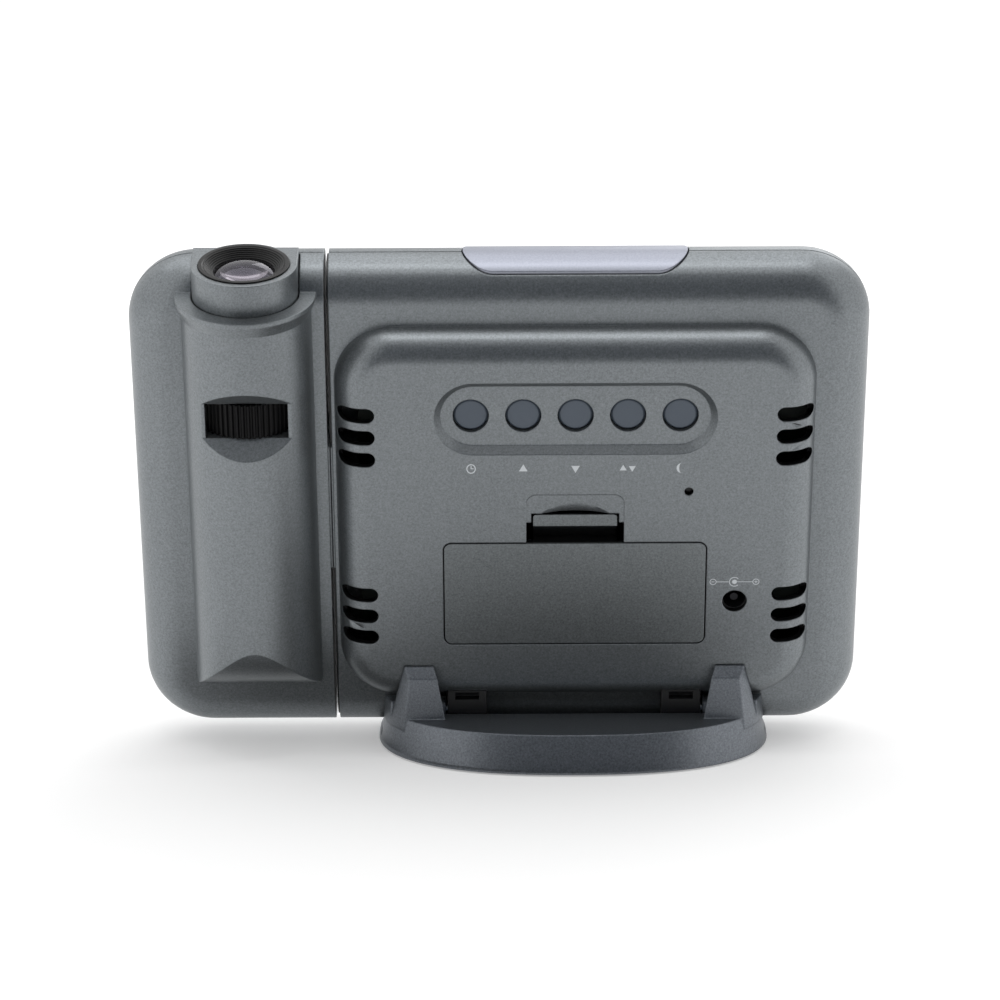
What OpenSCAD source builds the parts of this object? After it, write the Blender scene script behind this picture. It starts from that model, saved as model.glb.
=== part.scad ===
// Projection alarm clock: a leaning clock body with a turning projector wing, on an oval stand.
// The body and the wing are drawn in a back view frame: x to the right as seen from behind,
// y up along the body, z out of the back, with the middle of the slab at the origin.

/* [Body] */
// Width of the clock body with its wing
body_w = 180; // [172:1:190]
// Height of the clock body
body_h = 130; // [126:1:134]
// Thickness of the slab, whose edges are fully rounded
body_t = 20; // [19:0.5:22]
// Corner radius seen from the front
corner_r = 17; // [14:1:22]
// Wall of the moulded covers
wall = 1.8; // [1.4:0.1:2.2]
// Lean of the body away from upright, in degrees
lean = 14.5; // [11:0.5:17]
// Depth and height of the groove along the parting line
groove = 0.3; // [0.1:0.1:0.5]

/* [Rear housing] */
// Distance from the raised rear housing to the body's right side
hump_side = 13.1; // [12:0.1:15]
// Height of the raised rear housing
hump_h = 101.9; // [100:0.1:104]
// How far the rear housing stands out of the slab
hump_t = 7.4; // [6.8:0.1:8]
// Corner radius of the rear housing
hump_corner_r = 14.5; // [12:0.5:18]
// Distance from the seam to the rear housing
hump_inset = 0.9; // [0.4:0.1:1.2]
// How far the middle of the rear housing lies below the middle of the body
hump_drop = 1.05; // [0:0.05:2]

/* [Button panel] */
// Width of the sunk panel at its rim
panel_w = 68.8; // [66:0.1:72]
// Height of the sunk panel at its rim
panel_h = 19.4; // [18:0.1:21]
// Depth of the sunk panel
panel_depth = 2; // [1.6:0.1:2.4]
// How far the panel's walls lean in from rim to floor
panel_draft = 1.7; // [1:0.1:2]
// Height of the panel's middle above the middle of the body
panel_v = 28.3; // [27:0.1:29]
// Diameter of a button
button_d = 8.4; // [8:0.1:9]
// Distance from button to button
button_pitch = 12.7; // [12.2:0.1:13]
// Gap round a button
button_gap = 0.2; // [0.15:0.05:0.35]
// How far a button's face lies below the panel's floor
button_sink = 0.7; // [0.2:0.1:0.8]
// How far a button can be pressed
button_travel = 0.8; // [0.5:0.1:0.9]

/* [Reset pin] */
// Diameter of the reset pinhole
reset_hole_d = 2.2; // [2:0.1:2.6]
// Sideways distance from the middle of the rear housing to the pinhole
reset_x = 27.7; // [26:0.1:28.5]
// Height of the pinhole above the middle of the body
reset_v = 8.3; // [7:0.1:9]

/* [Vents] */
// Height of one vent slot
vent_h = 3.9; // [3.4:0.1:4.2]
// Length of one vent slot
vent_l = 9.1; // [8:0.1:10]
// Distance from vent to vent
vent_pitch = 6; // [5.6:0.1:6.4]
// Distance from the rear housing's side to the inner end of a vent
vent_side = 9.8; // [9:0.1:10.5]
// Height of the upper vents' middle above the middle of the body
vent_high_v = 23.3; // [22:0.1:25]
// Depth of the lower vents' middle below the middle of the body
vent_low_v = 26.6; // [25:0.1:28]

/* [Battery door] */
// Thickness of the battery door
door_t = 1.7; // [1.5:0.1:1.9]
// Corner radius of the battery door
door_r = 1.8; // [1:0.1:2.5]
// Gap round the battery door
door_gap = 0.35; // [0.25:0.05:0.45]
// Depth of the door's middle below the middle of the body
door_v = 20.3; // [19.8:0.1:21]
// Width of the ledge that the door lies on
door_ledge = 2.2; // [2:0.1:2.4]
// Width of the latch window
latch_window_w = 24; // [23:0.1:25]
// Height of the latch window above the door
latch_window_h = 13.6; // [13.2:0.1:14]
// Width of the latch's lip
latch_w = 20.6; // [19:0.1:21.5]
// Height of the latch's lip
latch_lip_h = 3.2; // [2.8:0.1:3.8]
// Height of the opening beside the latch's lip, above the door
latch_side_h = 5.8; // [5:0.1:6.4]
// Gap beside and above the latch's lip
latch_gap = 0.5; // [0.3:0.1:0.8]
// How far the thumb recess reaches above the lip
thumb_rise = 3.6; // [3:0.1:4]
// Depth of the thumb recess at the lip
thumb_depth = 1.9; // [1.4:0.1:2.2]
// Radius of the thumb recess
thumb_r = 26; // [22:1:30]
// Thickness of the latch's spring
latch_t = 1; // [0.8:0.1:1.2]
// How far the latch's lip stands above the door
latch_rise = 4.6; // [4.4:0.1:5]

/* [Cells] */
// Diameter of a backup cell
cell_d = 10.5; // [10.3:0.1:10.6]
// Length of a backup cell
cell_l = 44.5; // [44:0.1:45]
// Room for the contact springs at one end
spring_room = 5; // [4.8:0.1:7]
// Room for the case screws beyond the springs
screw_room = 9.5; // [9:0.1:11]
// Room above and below the two cells
cell_side = 1.5; // [1.2:0.1:2]

/* [Power socket] */
// Diameter of the socket's mouth
socket_d = 6.1; // [5.8:0.1:6.4]
// Diameter of the socket's centre pin
socket_pin_d = 2; // [1.8:0.1:2.2]
// Sideways distance from the battery door to the middle of the socket
socket_side = 7.4; // [7:0.1:8]
// Depth of the socket below the middle of the body
socket_v = 22.6; // [22:0.1:24]

/* [Snooze bar] */
// Width of the snooze bar
snooze_w = 54.3; // [50:0.1:58]
// Width of the snooze bar across the top edge
snooze_span = 14.8; // [14:0.1:15.4]
// How far the snooze bar stands out of the edge
snooze_proud = 0.3; // [0.1:0.1:0.5]
// How far the snooze bar's middle lies in front of the middle of the edge
snooze_front = 0.6; // [0:0.1:1]
// Gap round the snooze bar
snooze_gap = 0.3; // [0.2:0.05:0.4]

/* [Projector wing] */
// Width of the wing
wing_w = 47.9; // [46.5:0.1:49]
// Gap between the wing and the body
seam_gap = 1.1; // [0.9:0.1:1.4]
// Diameter of the hub plates that meet in the seam
hub_d = 39; // [36:0.5:42]
// Thickness of the dark plate that closes the seam
seam_plate_t = 0.5; // [0.4:0.05:0.6]
// How far the edge of that plate lies inside the covers
seam_plate_inset = 1.2; // [0.8:0.1:2]
// Outer radius of the hollow axle
axle_r = 5; // [4.5:0.1:5.5]
// Running clearance round the axle
axle_clearance = 0.06; // [0.04:0.01:0.08]

/* [Projector tube] */
// Outer radius of the projector tube
tube_r = 15.7; // [15.4:0.1:16.2]
// Wall of the projector tube
tube_wall = 2.2; // [2:0.1:2.4]
// Distance from the wing's outer edge to the tube's axis
tube_x = 29.2; // [28.5:0.1:29.8]
// Height of the tube's top face above the middle of the body
tube_top = 58.7; // [57.5:0.1:59.5]
// Depth of the tube's lower end below the middle of the body
tube_low = 49; // [47:0.1:50]
// Radius of the rounded lower end
tube_end_r = 24.6; // [23:0.1:26]
// Height over which the lower end rounds off
tube_end_h = 16.8; // [16:0.1:17.5]
// How far the lip of the top face stands out of the tube
lip_out = 1.2; // [0.8:0.1:1.4]
// Height of the lip's straight edge
lip_h = 1; // [0.6:0.1:1.6]

/* [Lens head] */
// Outer radius of the lens collar
collar_r = 12.7; // [12.4:0.1:13.2]
// Thickness of the collar's thin front wall
collar_rim = 0.9; // [0.7:0.1:1.2]
// Gap between the collar and the wing's covers
collar_gap = 0.3; // [0.2:0.05:0.4]
// Height of the collar's top above the middle of the body
collar_top = 66.7; // [66:0.1:67.5]
// Height of the slope below the lip
lip_slope_h = 3; // [2:0.1:4]
// How far the axis of tube and lens lies behind the slab's back face
lens_axis_out = 0.6; // [0.4:0.1:0.8]
// Length of the flat shelf in front of the lens axis
shelf_l = 9.6; // [9:0.1:10]
// Radius of the barrel's head
head_r = 10.95; // [10.8:0.05:11.3]
// Radius of the barrel
barrel_r = 9.8; // [9.6:0.1:9.9]
// Radius of the projection lens
lens_r = 8.2; // [8:0.1:8.4]
// Depth of the lens's rim below the top of the barrel
lens_depth = 1.9; // [1.5:0.1:4]

/* [Focus wheel] */
// Outer radius of the focus wheel
wheel_r = 12.5; // [12.2:0.1:13.3]
// Height of the focus window
window_h = 9.2; // [8.8:0.1:9.6]
// Width of the focus window
window_w = 20; // [18:0.1:21]
// Height of the focus window's middle above the middle of the body
window_v = 30.6; // [29:0.1:32]
// Number of ribs on the focus wheel
wheel_ribs = 56; // [32:1:64]
// Height of one thumb scoop
scoop_h = 4.4; // [4:0.1:4.8]
// Depth of a thumb scoop at the window
scoop_depth = 4.3; // [4:0.1:4.5]

/* [Display] */
// Distance from the display window to the seam, and to the round of the right edge
display_side = 7; // [6:0.5:10]
// Distance from the display window to the rounds of the top and bottom edges
display_end = 9; // [6:0.5:12]
// Corner radius of the display window
display_r = 5; // [3:0.5:8]
// Thickness of the display window
display_t = 1.2; // [1:0.1:1.4]
// Width of the frame behind the display window's edge
display_rim = 3; // [2.4:0.1:4]
// Thickness of the LCD panel
lcd_t = 2.6; // [2.2:0.1:3]
// Thickness of the backlight
backlight_t = 2.2; // [1.8:0.1:2.6]

/* [Stand] */
// Half the width of the foot
foot_a = 49.5; // [47:0.5:52]
// Half the depth of the foot
foot_b = 35.7; // [34:0.1:38]
// Fullness of the foot's outline, from 2 for an ellipse
foot_power = 2.4; // [2.2:0.1:2.8]
// How far the foot's middle lies in front of the hinge
foot_forward = 10.3; // [9:0.1:12]
// Height of the deck above the table
deck_h = 10; // [9.6:0.1:10.4]
// Height of the front rim above the table
rim_h = 6; // [5:0.1:7]
// Height of the floor under the body, above the table
floor_h = 2; // [1.8:0.1:2.2]
// How far the foot's back leans in from table to deck
wall_lean = 2.4; // [2:0.1:3]
// How far the foot's sides lean in from table to deck
side_lean = 1.5; // [1:0.1:2]
// Sideways distance from the foot's middle to the inside of an arm
arm_x = 32.4; // [32.2:0.1:33]
// Turn of an arm's inner flank towards the front, in degrees
arm_turn = 14; // [8:1:20]
// Lean of an arm's inner flank, in degrees
arm_in_lean = 9.8; // [8:0.1:11]
// Radius of the arms' outer flanks at the deck, seen from above
arm_out_r = 25.5; // [24.8:0.1:25.8]
// How fast that radius shrinks with height
arm_out_taper = 0.082; // [0:0.002:0.1]
// Radius of the bosses round the hinge pins
pin_boss_r = 3.4; // [3:0.1:3.6]
// Depth from the hinge to the back of an arm
arm_back = 9.4; // [9:0.1:10]
// Height of an arm's back face above the hinge
arm_rise = 10.7; // [10:0.1:11.5]
// Further rise of an arm towards the rear housing
arm_slope = 3; // [2:0.1:4]
// Space between the arms and the rear housing, which leans on them
stop_gap = 0.3; // [0.2:0.1:0.5]
// Radius of the hinge pins
pin_r = 1.5; // [1.3:0.1:1.7]
// Running clearance round the hinge pins
pin_clearance = 0.05; // [0.04:0.01:0.08]
// Height of the hinge above the table
hinge_h = 9.8; // [9.6:0.1:10.4]
// Depth of the hinge below the middle of the body
hinge_v = 55.8; // [55.5:0.1:56.2]
// Distance from the slab's back face to the hinge
hinge_out = 4; // [3.8:0.1:4.2]
// Width of a hinge lug
lug_w = 9.8; // [9:0.1:10.2]
// Height of a hinge lug above the hinge
lug_h = 6.8; // [6:0.1:7.4]
// How far the rubber pads stand out under the foot
pad_out = 0.5; // [0.3:0.1:0.8]
// Diameter of a rubber pad
pad_d = 9; // [8:0.5:10]

/* [Hidden] */
$fn = 96;
big = 400;
fit_gap = 0.1;
edge_r = body_t / 2;
back = body_t / 2;
hump_back = back + hump_t;
wing_edge = wing_w - body_w / 2;
main_edge = wing_edge + seam_gap;
hump_w = body_w / 2 - hump_side - main_edge - hump_inset;
hump_x = main_edge + hump_inset + hump_w / 2;
vent_x = hump_w / 2 - vent_side;
inner_back = hump_back - wall;
tube_axis_x = tube_x - body_w / 2;
lens_w = back + lens_axis_out;
hinge_w = back + hinge_out;
panel_floor = hump_back - panel_depth;
button_face = panel_floor - button_sink;
flange_t = 0.8;
flange_back = panel_floor - wall - fit_gap;
door_w = cell_l + 1 + spring_room + screw_room + 2 * door_ledge;
door_h = 2 * (cell_d + cell_side + door_ledge);
socket_x = door_w / 2 + socket_side;
door_low = -door_v - door_h / 2;
door_high = -door_v + door_h / 2;
door_in = hump_back - door_t;
compartment_w = door_w - 2 * door_ledge;
compartment_h = door_h - 2 * door_ledge;
compartment_floor = door_in - cell_d - 1;
boss_r = 3;
screw_r = 1;
lip_low = door_high + latch_rise;
window_top = door_high + latch_window_h;
board_t = 1.6;
lcd_back = -back + display_t + 0.6 + lcd_t;
light_back = lcd_back + backlight_t;
board_w = light_back + 0.8;
switch_h = 3.5;
plunger_h = 0.8;
plunger_top = flange_back - flange_t - button_travel - fit_gap;
key_w = plunger_top - plunger_h - switch_h - board_t;
display_w = body_w / 2 - edge_r - main_edge - 2 * display_side;
display_h = body_h - 2 * edge_r - 2 * display_end;
display_x = (main_edge + body_w / 2 - edge_r) / 2;
board_h = body_h - 22;
wheel_h = window_h - 0.4;
foot_x = -hump_x;
condenser_r = 10;
lug_x = arm_x - lug_w / 2 - 0.6;
deck_a = foot_a - side_lean;
deck_b = foot_b - wall_lean;
deck_front = hinge_out + 0.8;
trough_front = 26;
pin_end = arm_x + 9;
pin_l = 18;
arm_front = 2.6;
arm_flank_x = arm_x - 9.7;
arm_flank_y = -6.8;
arm_top = hinge_h + arm_rise + arm_slope;
rear_reach = max((tube_top + hinge_v) * sin(lean) + (lens_w + tube_r + lip_out - hinge_w) * cos(lean),
    (collar_top + hinge_v) * sin(lean) + (lens_w + collar_r - hinge_w) * cos(lean));
hinge_y = (foot_forward + foot_b - rear_reach) / 2;
paint = [0.46, 0.48, 0.49];
dark_plastic = [0.09, 0.09, 0.1];

// Places a piece drawn in the back view frame on the leaning body
module on_body() {
    translate([0, hinge_y, hinge_h]) rotate([-lean, 0, 0]) rotate([90, 0, 180])
        translate([0, hinge_v, -hinge_w]) children();
}

// Everything behind, or in front of, a plane parallel to the display
module behind(w) {
    translate([-big / 2, -big / 2, w]) cube(big);
}

module ahead_of(w) {
    translate([-big / 2, -big / 2, w - big]) cube(big);
}

// A rod across the body, along x
module cross_rod(r, x0, x1) {
    translate([x0, 0, 0]) rotate([0, 90, 0]) cylinder(r = r, h = x1 - x0);
}

// A rod along the body, along y
module upright_rod(r, y0, y1) {
    translate([0, y0, 0]) rotate([-90, 0, 0]) cylinder(r = r, h = y1 - y0);
}

module obround(length, height) {
    square([length - height, height], center = true);
    for (side = [-1, 1])
        translate([side * (length - height) / 2, 0]) circle(d = height);
}

module rounded_rectangle(w, h, r) {
    square([w - 2 * r, h], center = true);
    square([w, h - 2 * r], center = true);
    for (sx = [-1, 1], sy = [-1, 1])
        translate([sx * (w / 2 - r), sy * (h / 2 - r)]) circle(r);
}

// A plate whose edge profile, drawn as a child from x = 0 to the corner radius, runs all round it
module edged_plate(w, h, corner, low, high) {
    span_x = w - 2 * corner;
    span_y = h - 2 * corner;
    translate([-span_x / 2, -span_y / 2, low]) cube([span_x, span_y, high - low]);
    for (turn = [0, 180])
        rotate(turn) translate([span_x / 2, span_y / 2, 0]) rotate([90, 0, 0])
            linear_extrude(span_y) children();
    for (turn = [90, 270])
        rotate(turn) translate([span_y / 2, span_x / 2, 0]) rotate([90, 0, 0])
            linear_extrude(span_x) children();
    translate([span_x / 2, span_y / 2, 0]) rotate_extrude(angle = 90) children();
    translate([-span_x / 2, span_y / 2, 0]) rotate(90) rotate_extrude(angle = 90) children();
    translate([-span_x / 2, -span_y / 2, 0]) rotate(180) rotate_extrude(angle = 90) children();
    translate([span_x / 2, -span_y / 2, 0]) rotate(270) rotate_extrude(angle = 90) children();
}

// Edge profile of the slab: a half circle
module bullnose(reach, r) {
    translate([0, -r]) square([reach - r, 2 * r]);
    translate([reach - r, 0]) intersection() {
        circle(r);
        translate([0, -r]) square([r, 2 * r]);
    }
}

// Edge profile of the rear housing: a quarter circle at its back
module quarter_round(reach, high, r) {
    square([reach - r, high]);
    square([reach, high - r]);
    translate([reach - r, high - r]) intersection() {
        circle(r);
        square(r);
    }
}

// The whole slab, or its inside when inset is the wall
module slab(inset = 0) {
    edged_plate(body_w - 2 * inset, body_h - 2 * inset, corner_r - inset,
        inset - back, back - inset)
        bullnose(corner_r - inset, edge_r - inset);
}

module main_slab(inset = 0) {
    intersection() {
        slab(inset);
        translate([main_edge + inset, -big / 2, -big / 2]) cube(big);
    }
}

module wing_slab(inset = 0) {
    intersection() {
        slab(inset);
        translate([wing_edge - inset - big, -big / 2, -big / 2]) cube(big);
    }
}

// The raised rear housing, or its inside
module hump(inset = 0) {
    translate([hump_x, -hump_drop, 0])
        edged_plate(hump_w - 2 * inset, hump_h - 2 * inset, hump_corner_r - inset,
            0, hump_back - inset)
            quarter_round(hump_corner_r - inset, hump_back - inset, hump_t - inset);
}

// A fine groove where the rear and front covers meet
module parting_groove() {
    linear_extrude(groove) difference() {
        square([big, big], center = true);
        rounded_rectangle(body_w - 2 * groove, body_h - 2 * groove, corner_r - groove);
    }
}

// Hub plates that face each other in the seam, on either side of it
module hub_plate(x0, x1) {
    intersection() {
        slab(groove);
        cross_rod(hub_d / 2, x0, x1);
    }
}

module axle_hole() {
    cross_rod(axle_r + axle_clearance, wing_edge - 3 * wall, main_edge + 3 * wall);
}

// The hole for the snooze bar, or the bar's own outline, through the top edge
module snooze_outline(grow, deeper = 0) {
    translate([hump_x, body_h / 2 - edge_r + 2 - deeper, -snooze_front])
        rotate([-90, 0, 0])
            linear_extrude(edge_r + deeper) obround(snooze_w + 2 * grow, snooze_span + 2 * grow);
}

// A band that follows the slab's surface between two depths
module edge_band(outer, inner) {
    translate([0, body_h / 2 - edge_r, 0]) difference() {
        cross_rod(edge_r - outer, hump_x - snooze_w, hump_x + snooze_w);
        cross_rod(edge_r - inner, hump_x - snooze_w - 1, hump_x + snooze_w + 1);
    }
}

// The sunk button panel with its leaning walls
module panel_recess() {
    straight = panel_w - panel_h;
    rim_r = panel_h / 2;
    floor_r = rim_r - panel_draft;
    translate([hump_x, panel_v, panel_floor]) {
        for (side = [-1, 1])
            translate([side * straight / 2, 0, 0])
                cylinder(r1 = floor_r, r2 = rim_r, h = panel_depth);
        rotate([90, 0, 90]) translate([0, 0, -straight / 2]) linear_extrude(straight)
            polygon([[-floor_r, 0], [floor_r, 0], [rim_r, panel_depth], [-rim_r, panel_depth]]);
    }
}

module each_button() {
    for (i = [-2 : 2])
        translate([hump_x + i * button_pitch, panel_v, 0]) children();
}

module vents() {
    for (side = [-1, 1], v = [vent_high_v, -vent_low_v], i = [-1 : 1])
        translate([hump_x + side * (vent_x + vent_l / 2), v + i * vent_pitch, back + 0.6])
            linear_extrude(hump_t) obround(vent_l, vent_h);
}

// Solid blocks left inside the rear cover: panel floor, battery box and latch pocket
module rear_backing() {
    translate([hump_x, panel_v, panel_floor - wall])
        linear_extrude(panel_depth + wall) obround(panel_w + 2 * wall, panel_h + 2 * wall);
    translate([hump_x - door_w / 2 - wall, door_low - wall, compartment_floor - wall])
        cube([door_w + 2 * wall, door_h + 2 * wall, big]);
    translate([hump_x - latch_window_w / 2 - wall, door_high, compartment_floor + 1])
        cube([latch_window_w + 2 * wall, latch_window_h + wall, big]);
    for (place = boss_places())
        translate([place.x, place.y, board_w + board_t]) cylinder(r = boss_r, h = big);
    for (side = [-1, 1])
        translate([hump_x + side * (panel_w / 2 - 2.5), panel_v + 6, key_w + board_t])
            cylinder(r = 2, h = big);
}

function boss_places() = [
    for (x = [main_edge + 10, body_w / 2 - 14], y = [-1, 1]) [x, y * (body_h / 2 - 15)]
];

// Opening for the door, the battery compartment behind it and the latch window above it
module door_openings() {
    translate([hump_x, -door_v, door_in - 0.1]) linear_extrude(big)
        rounded_rectangle(door_w + 2 * door_gap, door_h + 2 * door_gap, door_r + door_gap);
    translate([hump_x - compartment_w / 2, -door_v - compartment_h / 2, compartment_floor])
        cube([compartment_w, compartment_h, big]);
    translate([hump_x - latch_window_w / 2, door_high - 2 * door_ledge, compartment_floor + 1 + wall])
        cube([latch_window_w, latch_side_h + 2 * door_ledge, big]);
    translate([hump_x - latch_w / 2 - latch_gap, door_high, compartment_floor + 1 + wall])
        cube([latch_w + 2 * latch_gap, lip_low + latch_lip_h + latch_gap - door_high, big]);
    translate([hump_x, (window_top + door_high) / 2, hump_back - 0.25]) linear_extrude(big)
        rounded_rectangle(latch_window_w, window_top - door_high, 2.5);
    thumb_recess();
    for (side = [-1, 1])
        translate([hump_x + side * door_w / 3 - 4, door_low - 1.9, door_in - 1.9])
            cube([8, 4, 1.9 + door_t - 0.7]);
}

// A recess above the latch's lip: a slice of a leaning rod, deepest at the lip
module thumb_recess() {
    low = lip_low + latch_lip_h + latch_gap - 0.1;
    translate([hump_x, low, hump_back - thumb_depth]) intersection() {
        rotate([atan(thumb_depth / thumb_rise), 0, 0])
            translate([0, 0, thumb_r]) upright_rod(thumb_r, -thumb_rise, 3 * thumb_rise);
        translate([-latch_w, 0, -thumb_depth]) cube([2 * latch_w, 2 * thumb_rise, 4 * thumb_depth]);
    }
}

// Hinge lugs: a barrel round each pin, and a neck that runs up into the rear housing
module lugs() {
    for (side = [-1, 1])
        translate([hump_x + side * lug_x, -hinge_v, hinge_w]) difference() {
            union() {
                cross_rod(hinge_out, -lug_w / 2, lug_w / 2);
                translate([-lug_w / 2, 0, 0]) rotate([90, 0, 90]) linear_extrude(lug_w)
                    polygon([[0, -hinge_out - wall], [0, hinge_out], [lug_h, hinge_out - 1.8],
                        [lug_h, -hinge_out - wall]]);
            }
            translate([-3, lug_h - 2.3, hinge_out - 3.1]) cube([6, 1.7, 4]);
        }
}

module rear_cover() {
    color(paint) on_body() difference() {
        union() {
            intersection() {
                main_slab();
                behind(0);
            }
            hump();
            lugs();
            intersection() {
                hub_plate(main_edge - seam_gap / 2 + 0.1, main_edge + wall);
                behind(0);
            }
        }
        difference() {
            union() {
                intersection() {
                    main_slab(wall);
                    behind(-1);
                }
                hump(wall);
            }
            rear_backing();
        }
        parting_groove();
        axle_hole();
        snooze_outline(snooze_gap, 1.3);
        panel_recess();
        each_button() cylinder(d = button_d + 2 * button_gap, h = big);
        translate([hump_x + reset_x, reset_v, 0]) cylinder(d = reset_hole_d, h = big);
        translate([hump_x + socket_x, -socket_v, 0]) cylinder(d = socket_d, h = big);
        vents();
        door_openings();
        for (side = [-1, 1])
            translate([hump_x + side * lug_x, -hinge_v, hinge_w])
                cross_rod(pin_r + pin_clearance, -lug_w, lug_w);
        for (place = boss_places())
            translate([place.x, place.y, board_w + board_t - 1]) cylinder(r = screw_r, h = 8);
        case_screw_places() translate([0, 0, -big / 2]) cylinder(r = screw_r, h = big);
    }
}

module case_screw_places() {
    for (side = [-1, 1])
        translate([hump_x + compartment_w / 2 - 3, -door_v + side * (compartment_h / 2 - 3), 0])
            children();
}

module front_bezel() {
    color(paint) on_body() difference() {
        union() {
            difference() {
                intersection() {
                    main_slab();
                    ahead_of(0);
                }
                intersection() {
                    main_slab(wall);
                    ahead_of(1);
                }
            }
            intersection() {
                hub_plate(main_edge - seam_gap / 2 + 0.1, main_edge + wall);
                ahead_of(0);
            }
            for (place = boss_places())
                translate([place.x, place.y, -back + wall / 2])
                    cylinder(r = boss_r, h = board_w + back - wall / 2);
        }
        translate([display_x, 0, -back - 1]) linear_extrude(display_t + 1)
            rounded_rectangle(display_w + 2 * fit_gap, display_h + 2 * fit_gap, display_r + fit_gap);
        translate([display_x, 0, -back - 1]) linear_extrude(display_t + wall + 1)
            rounded_rectangle(display_w - 2 * display_rim, display_h - 2 * display_rim, display_r);
        axle_hole();
        snooze_outline(snooze_gap, 1.3);
        for (place = boss_places())
            translate([place.x, place.y, board_w - 4]) cylinder(r = screw_r, h = 8);
    }
}

module display_window() {
    color([0.2, 0.22, 0.23, 0.5]) on_body() translate([display_x, 0, -back])
        linear_extrude(display_t) rounded_rectangle(display_w, display_h, display_r);
}

module lcd_panel() {
    color([0.62, 0.68, 0.6]) on_body() translate([display_x, 0, lcd_back - lcd_t])
        linear_extrude(lcd_t) square([display_w - 4, display_h - 4], center = true);
}

module backlight() {
    color("white") on_body() translate([display_x, 0, lcd_back])
        linear_extrude(backlight_t) square([display_w - 6, display_h - 6], center = true);
}

module main_board() {
    color([0.1, 0.35, 0.2]) on_body() difference() {
        translate([main_edge + 6, -board_h / 2, board_w]) cube([display_w + 8, board_h, board_t]);
        for (place = boss_places())
            translate([place.x, place.y, 0]) cylinder(r = screw_r + 0.2, h = big, center = true);
    }
}

module board_screws() {
    color("silver") on_body() for (place = boss_places())
        translate([place.x, place.y, board_w - 3]) cylinder(r = screw_r, h = 3 + board_t + 2);
}

module standoffs() {
    color([0.8, 0.65, 0.3]) on_body() case_screw_places() difference() {
        translate([0, 0, board_w + board_t])
            cylinder(r = boss_r, h = compartment_floor - wall - board_w - board_t);
        translate([0, 0, compartment_floor - wall - 3]) cylinder(r = screw_r, h = 4);
    }
}

module key_board() {
    color([0.1, 0.35, 0.2]) on_body()
        translate([hump_x - panel_w / 2, panel_v - 9, key_w]) cube([panel_w, 18, board_t]);
}

module key_switches() {
    color("black") on_body() each_button() {
        translate([-3, -3, key_w + board_t]) cube([6, 6, switch_h]);
        translate([0, 0, key_w + board_t + switch_h]) cylinder(r = 1.7, h = plunger_h);
    }
}

module buzzer() {
    color("black") on_body() translate([hump_x + 44, 2, board_w + board_t])
        cylinder(r = 6, h = 5);
}

module temperature_sensor() {
    color("black") on_body() translate([hump_x + 50, -40, board_w + board_t])
        cylinder(r = 1.6, h = 7);
}

module power_socket() {
    color(dark_plastic) on_body() translate([hump_x + socket_x, -socket_v, 0]) difference() {
        translate([-4.5, -4.5, inner_back - 11]) cube([9, 9, 11]);
        translate([0, 0, inner_back - 9.5]) cylinder(d = socket_d - 0.4, h = 12);
    }
}

module socket_pin() {
    color("silver") on_body() translate([hump_x + socket_x, -socket_v, inner_back - 9.5])
        cylinder(d = socket_pin_d, h = 9);
}

module battery_cells() {
    color([0.3, 0.3, 0.32]) on_body() for (side = [-1, 1])
        translate([hump_x - compartment_w / 2 + 1, -door_v + side * (cell_d / 2 + 0.3),
            compartment_floor + cell_d / 2 + fit_gap])
            cross_rod(cell_d / 2, 0, cell_l);
}

module battery_springs() {
    coil_x = hump_x - compartment_w / 2 + 1 + cell_l;
    color("silver") on_body() for (side = [-1, 1], i = [0 : 4])
        translate([coil_x + 0.5 + i * 0.9, -door_v + side * (cell_d / 2 + 0.3),
            compartment_floor + cell_d / 2 + fit_gap]) rotate([0, 90, 0])
            rotate_extrude() translate([2 + i * 0.3, 0]) circle(r = 0.5, $fn = 16);
}

module battery_plates() {
    color("silver") on_body() {
        translate([hump_x - compartment_w / 2, -door_v - compartment_h / 2 + 1, compartment_floor])
            cube([0.4, compartment_h - 2, cell_d]);
        translate([hump_x - compartment_w / 2 + 1 + cell_l + spring_room, 2 - door_v - compartment_h / 2,
            compartment_floor]) cube([0.4, compartment_h - 4, cell_d]);
    }
}

module case_screws() {
    color("silver") on_body() case_screw_places() {
        translate([0, 0, compartment_floor - wall - 3]) cylinder(r = screw_r, h = wall + 3);
        translate([0, 0, compartment_floor]) cylinder(r = 2, h = 1.4);
    }
}

// A plate on the body's side that keeps the seam dark, round the hub
module seam_plate() {
    color(dark_plastic) on_body() difference() {
        intersection() {
            slab(seam_plate_inset);
            translate([main_edge - seam_plate_t, -big / 2, -big / 2]) cube([seam_plate_t, big, big]);
        }
        cross_rod(hub_d / 2 + fit_gap, wing_edge, main_edge + 1);
    }
}

module wing_axle() {
    color(dark_plastic) on_body() difference() {
        union() {
            cross_rod(axle_r, wing_edge - 2 * wall - 1.6, main_edge + wall + 1.5);
            cross_rod(axle_r + 2.5, main_edge + wall, main_edge + wall + 1.5);
        }
        cross_rod(axle_r - 2, -big, big);
    }
}

module projector_lead() {
    color("black") on_body() translate([0, -axle_r + 2 + 1.5 + fit_gap, 0])
        cross_rod(1.5, wing_edge - 7, main_edge + 5);
}

module battery_door() {
    half = latch_w / 2;
    color([0.4, 0.42, 0.43]) on_body() {
        translate([hump_x, -door_v, door_in]) linear_extrude(door_t)
            rounded_rectangle(door_w, door_h, door_r);
        for (side = [-1, 1])
            translate([hump_x + side * door_w / 3 - 3.5, door_low - 1.4, door_in])
                cube([7, 3, door_t - 1]);
        translate([hump_x, 0, 0]) latch_spring(half);
    }
}

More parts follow.
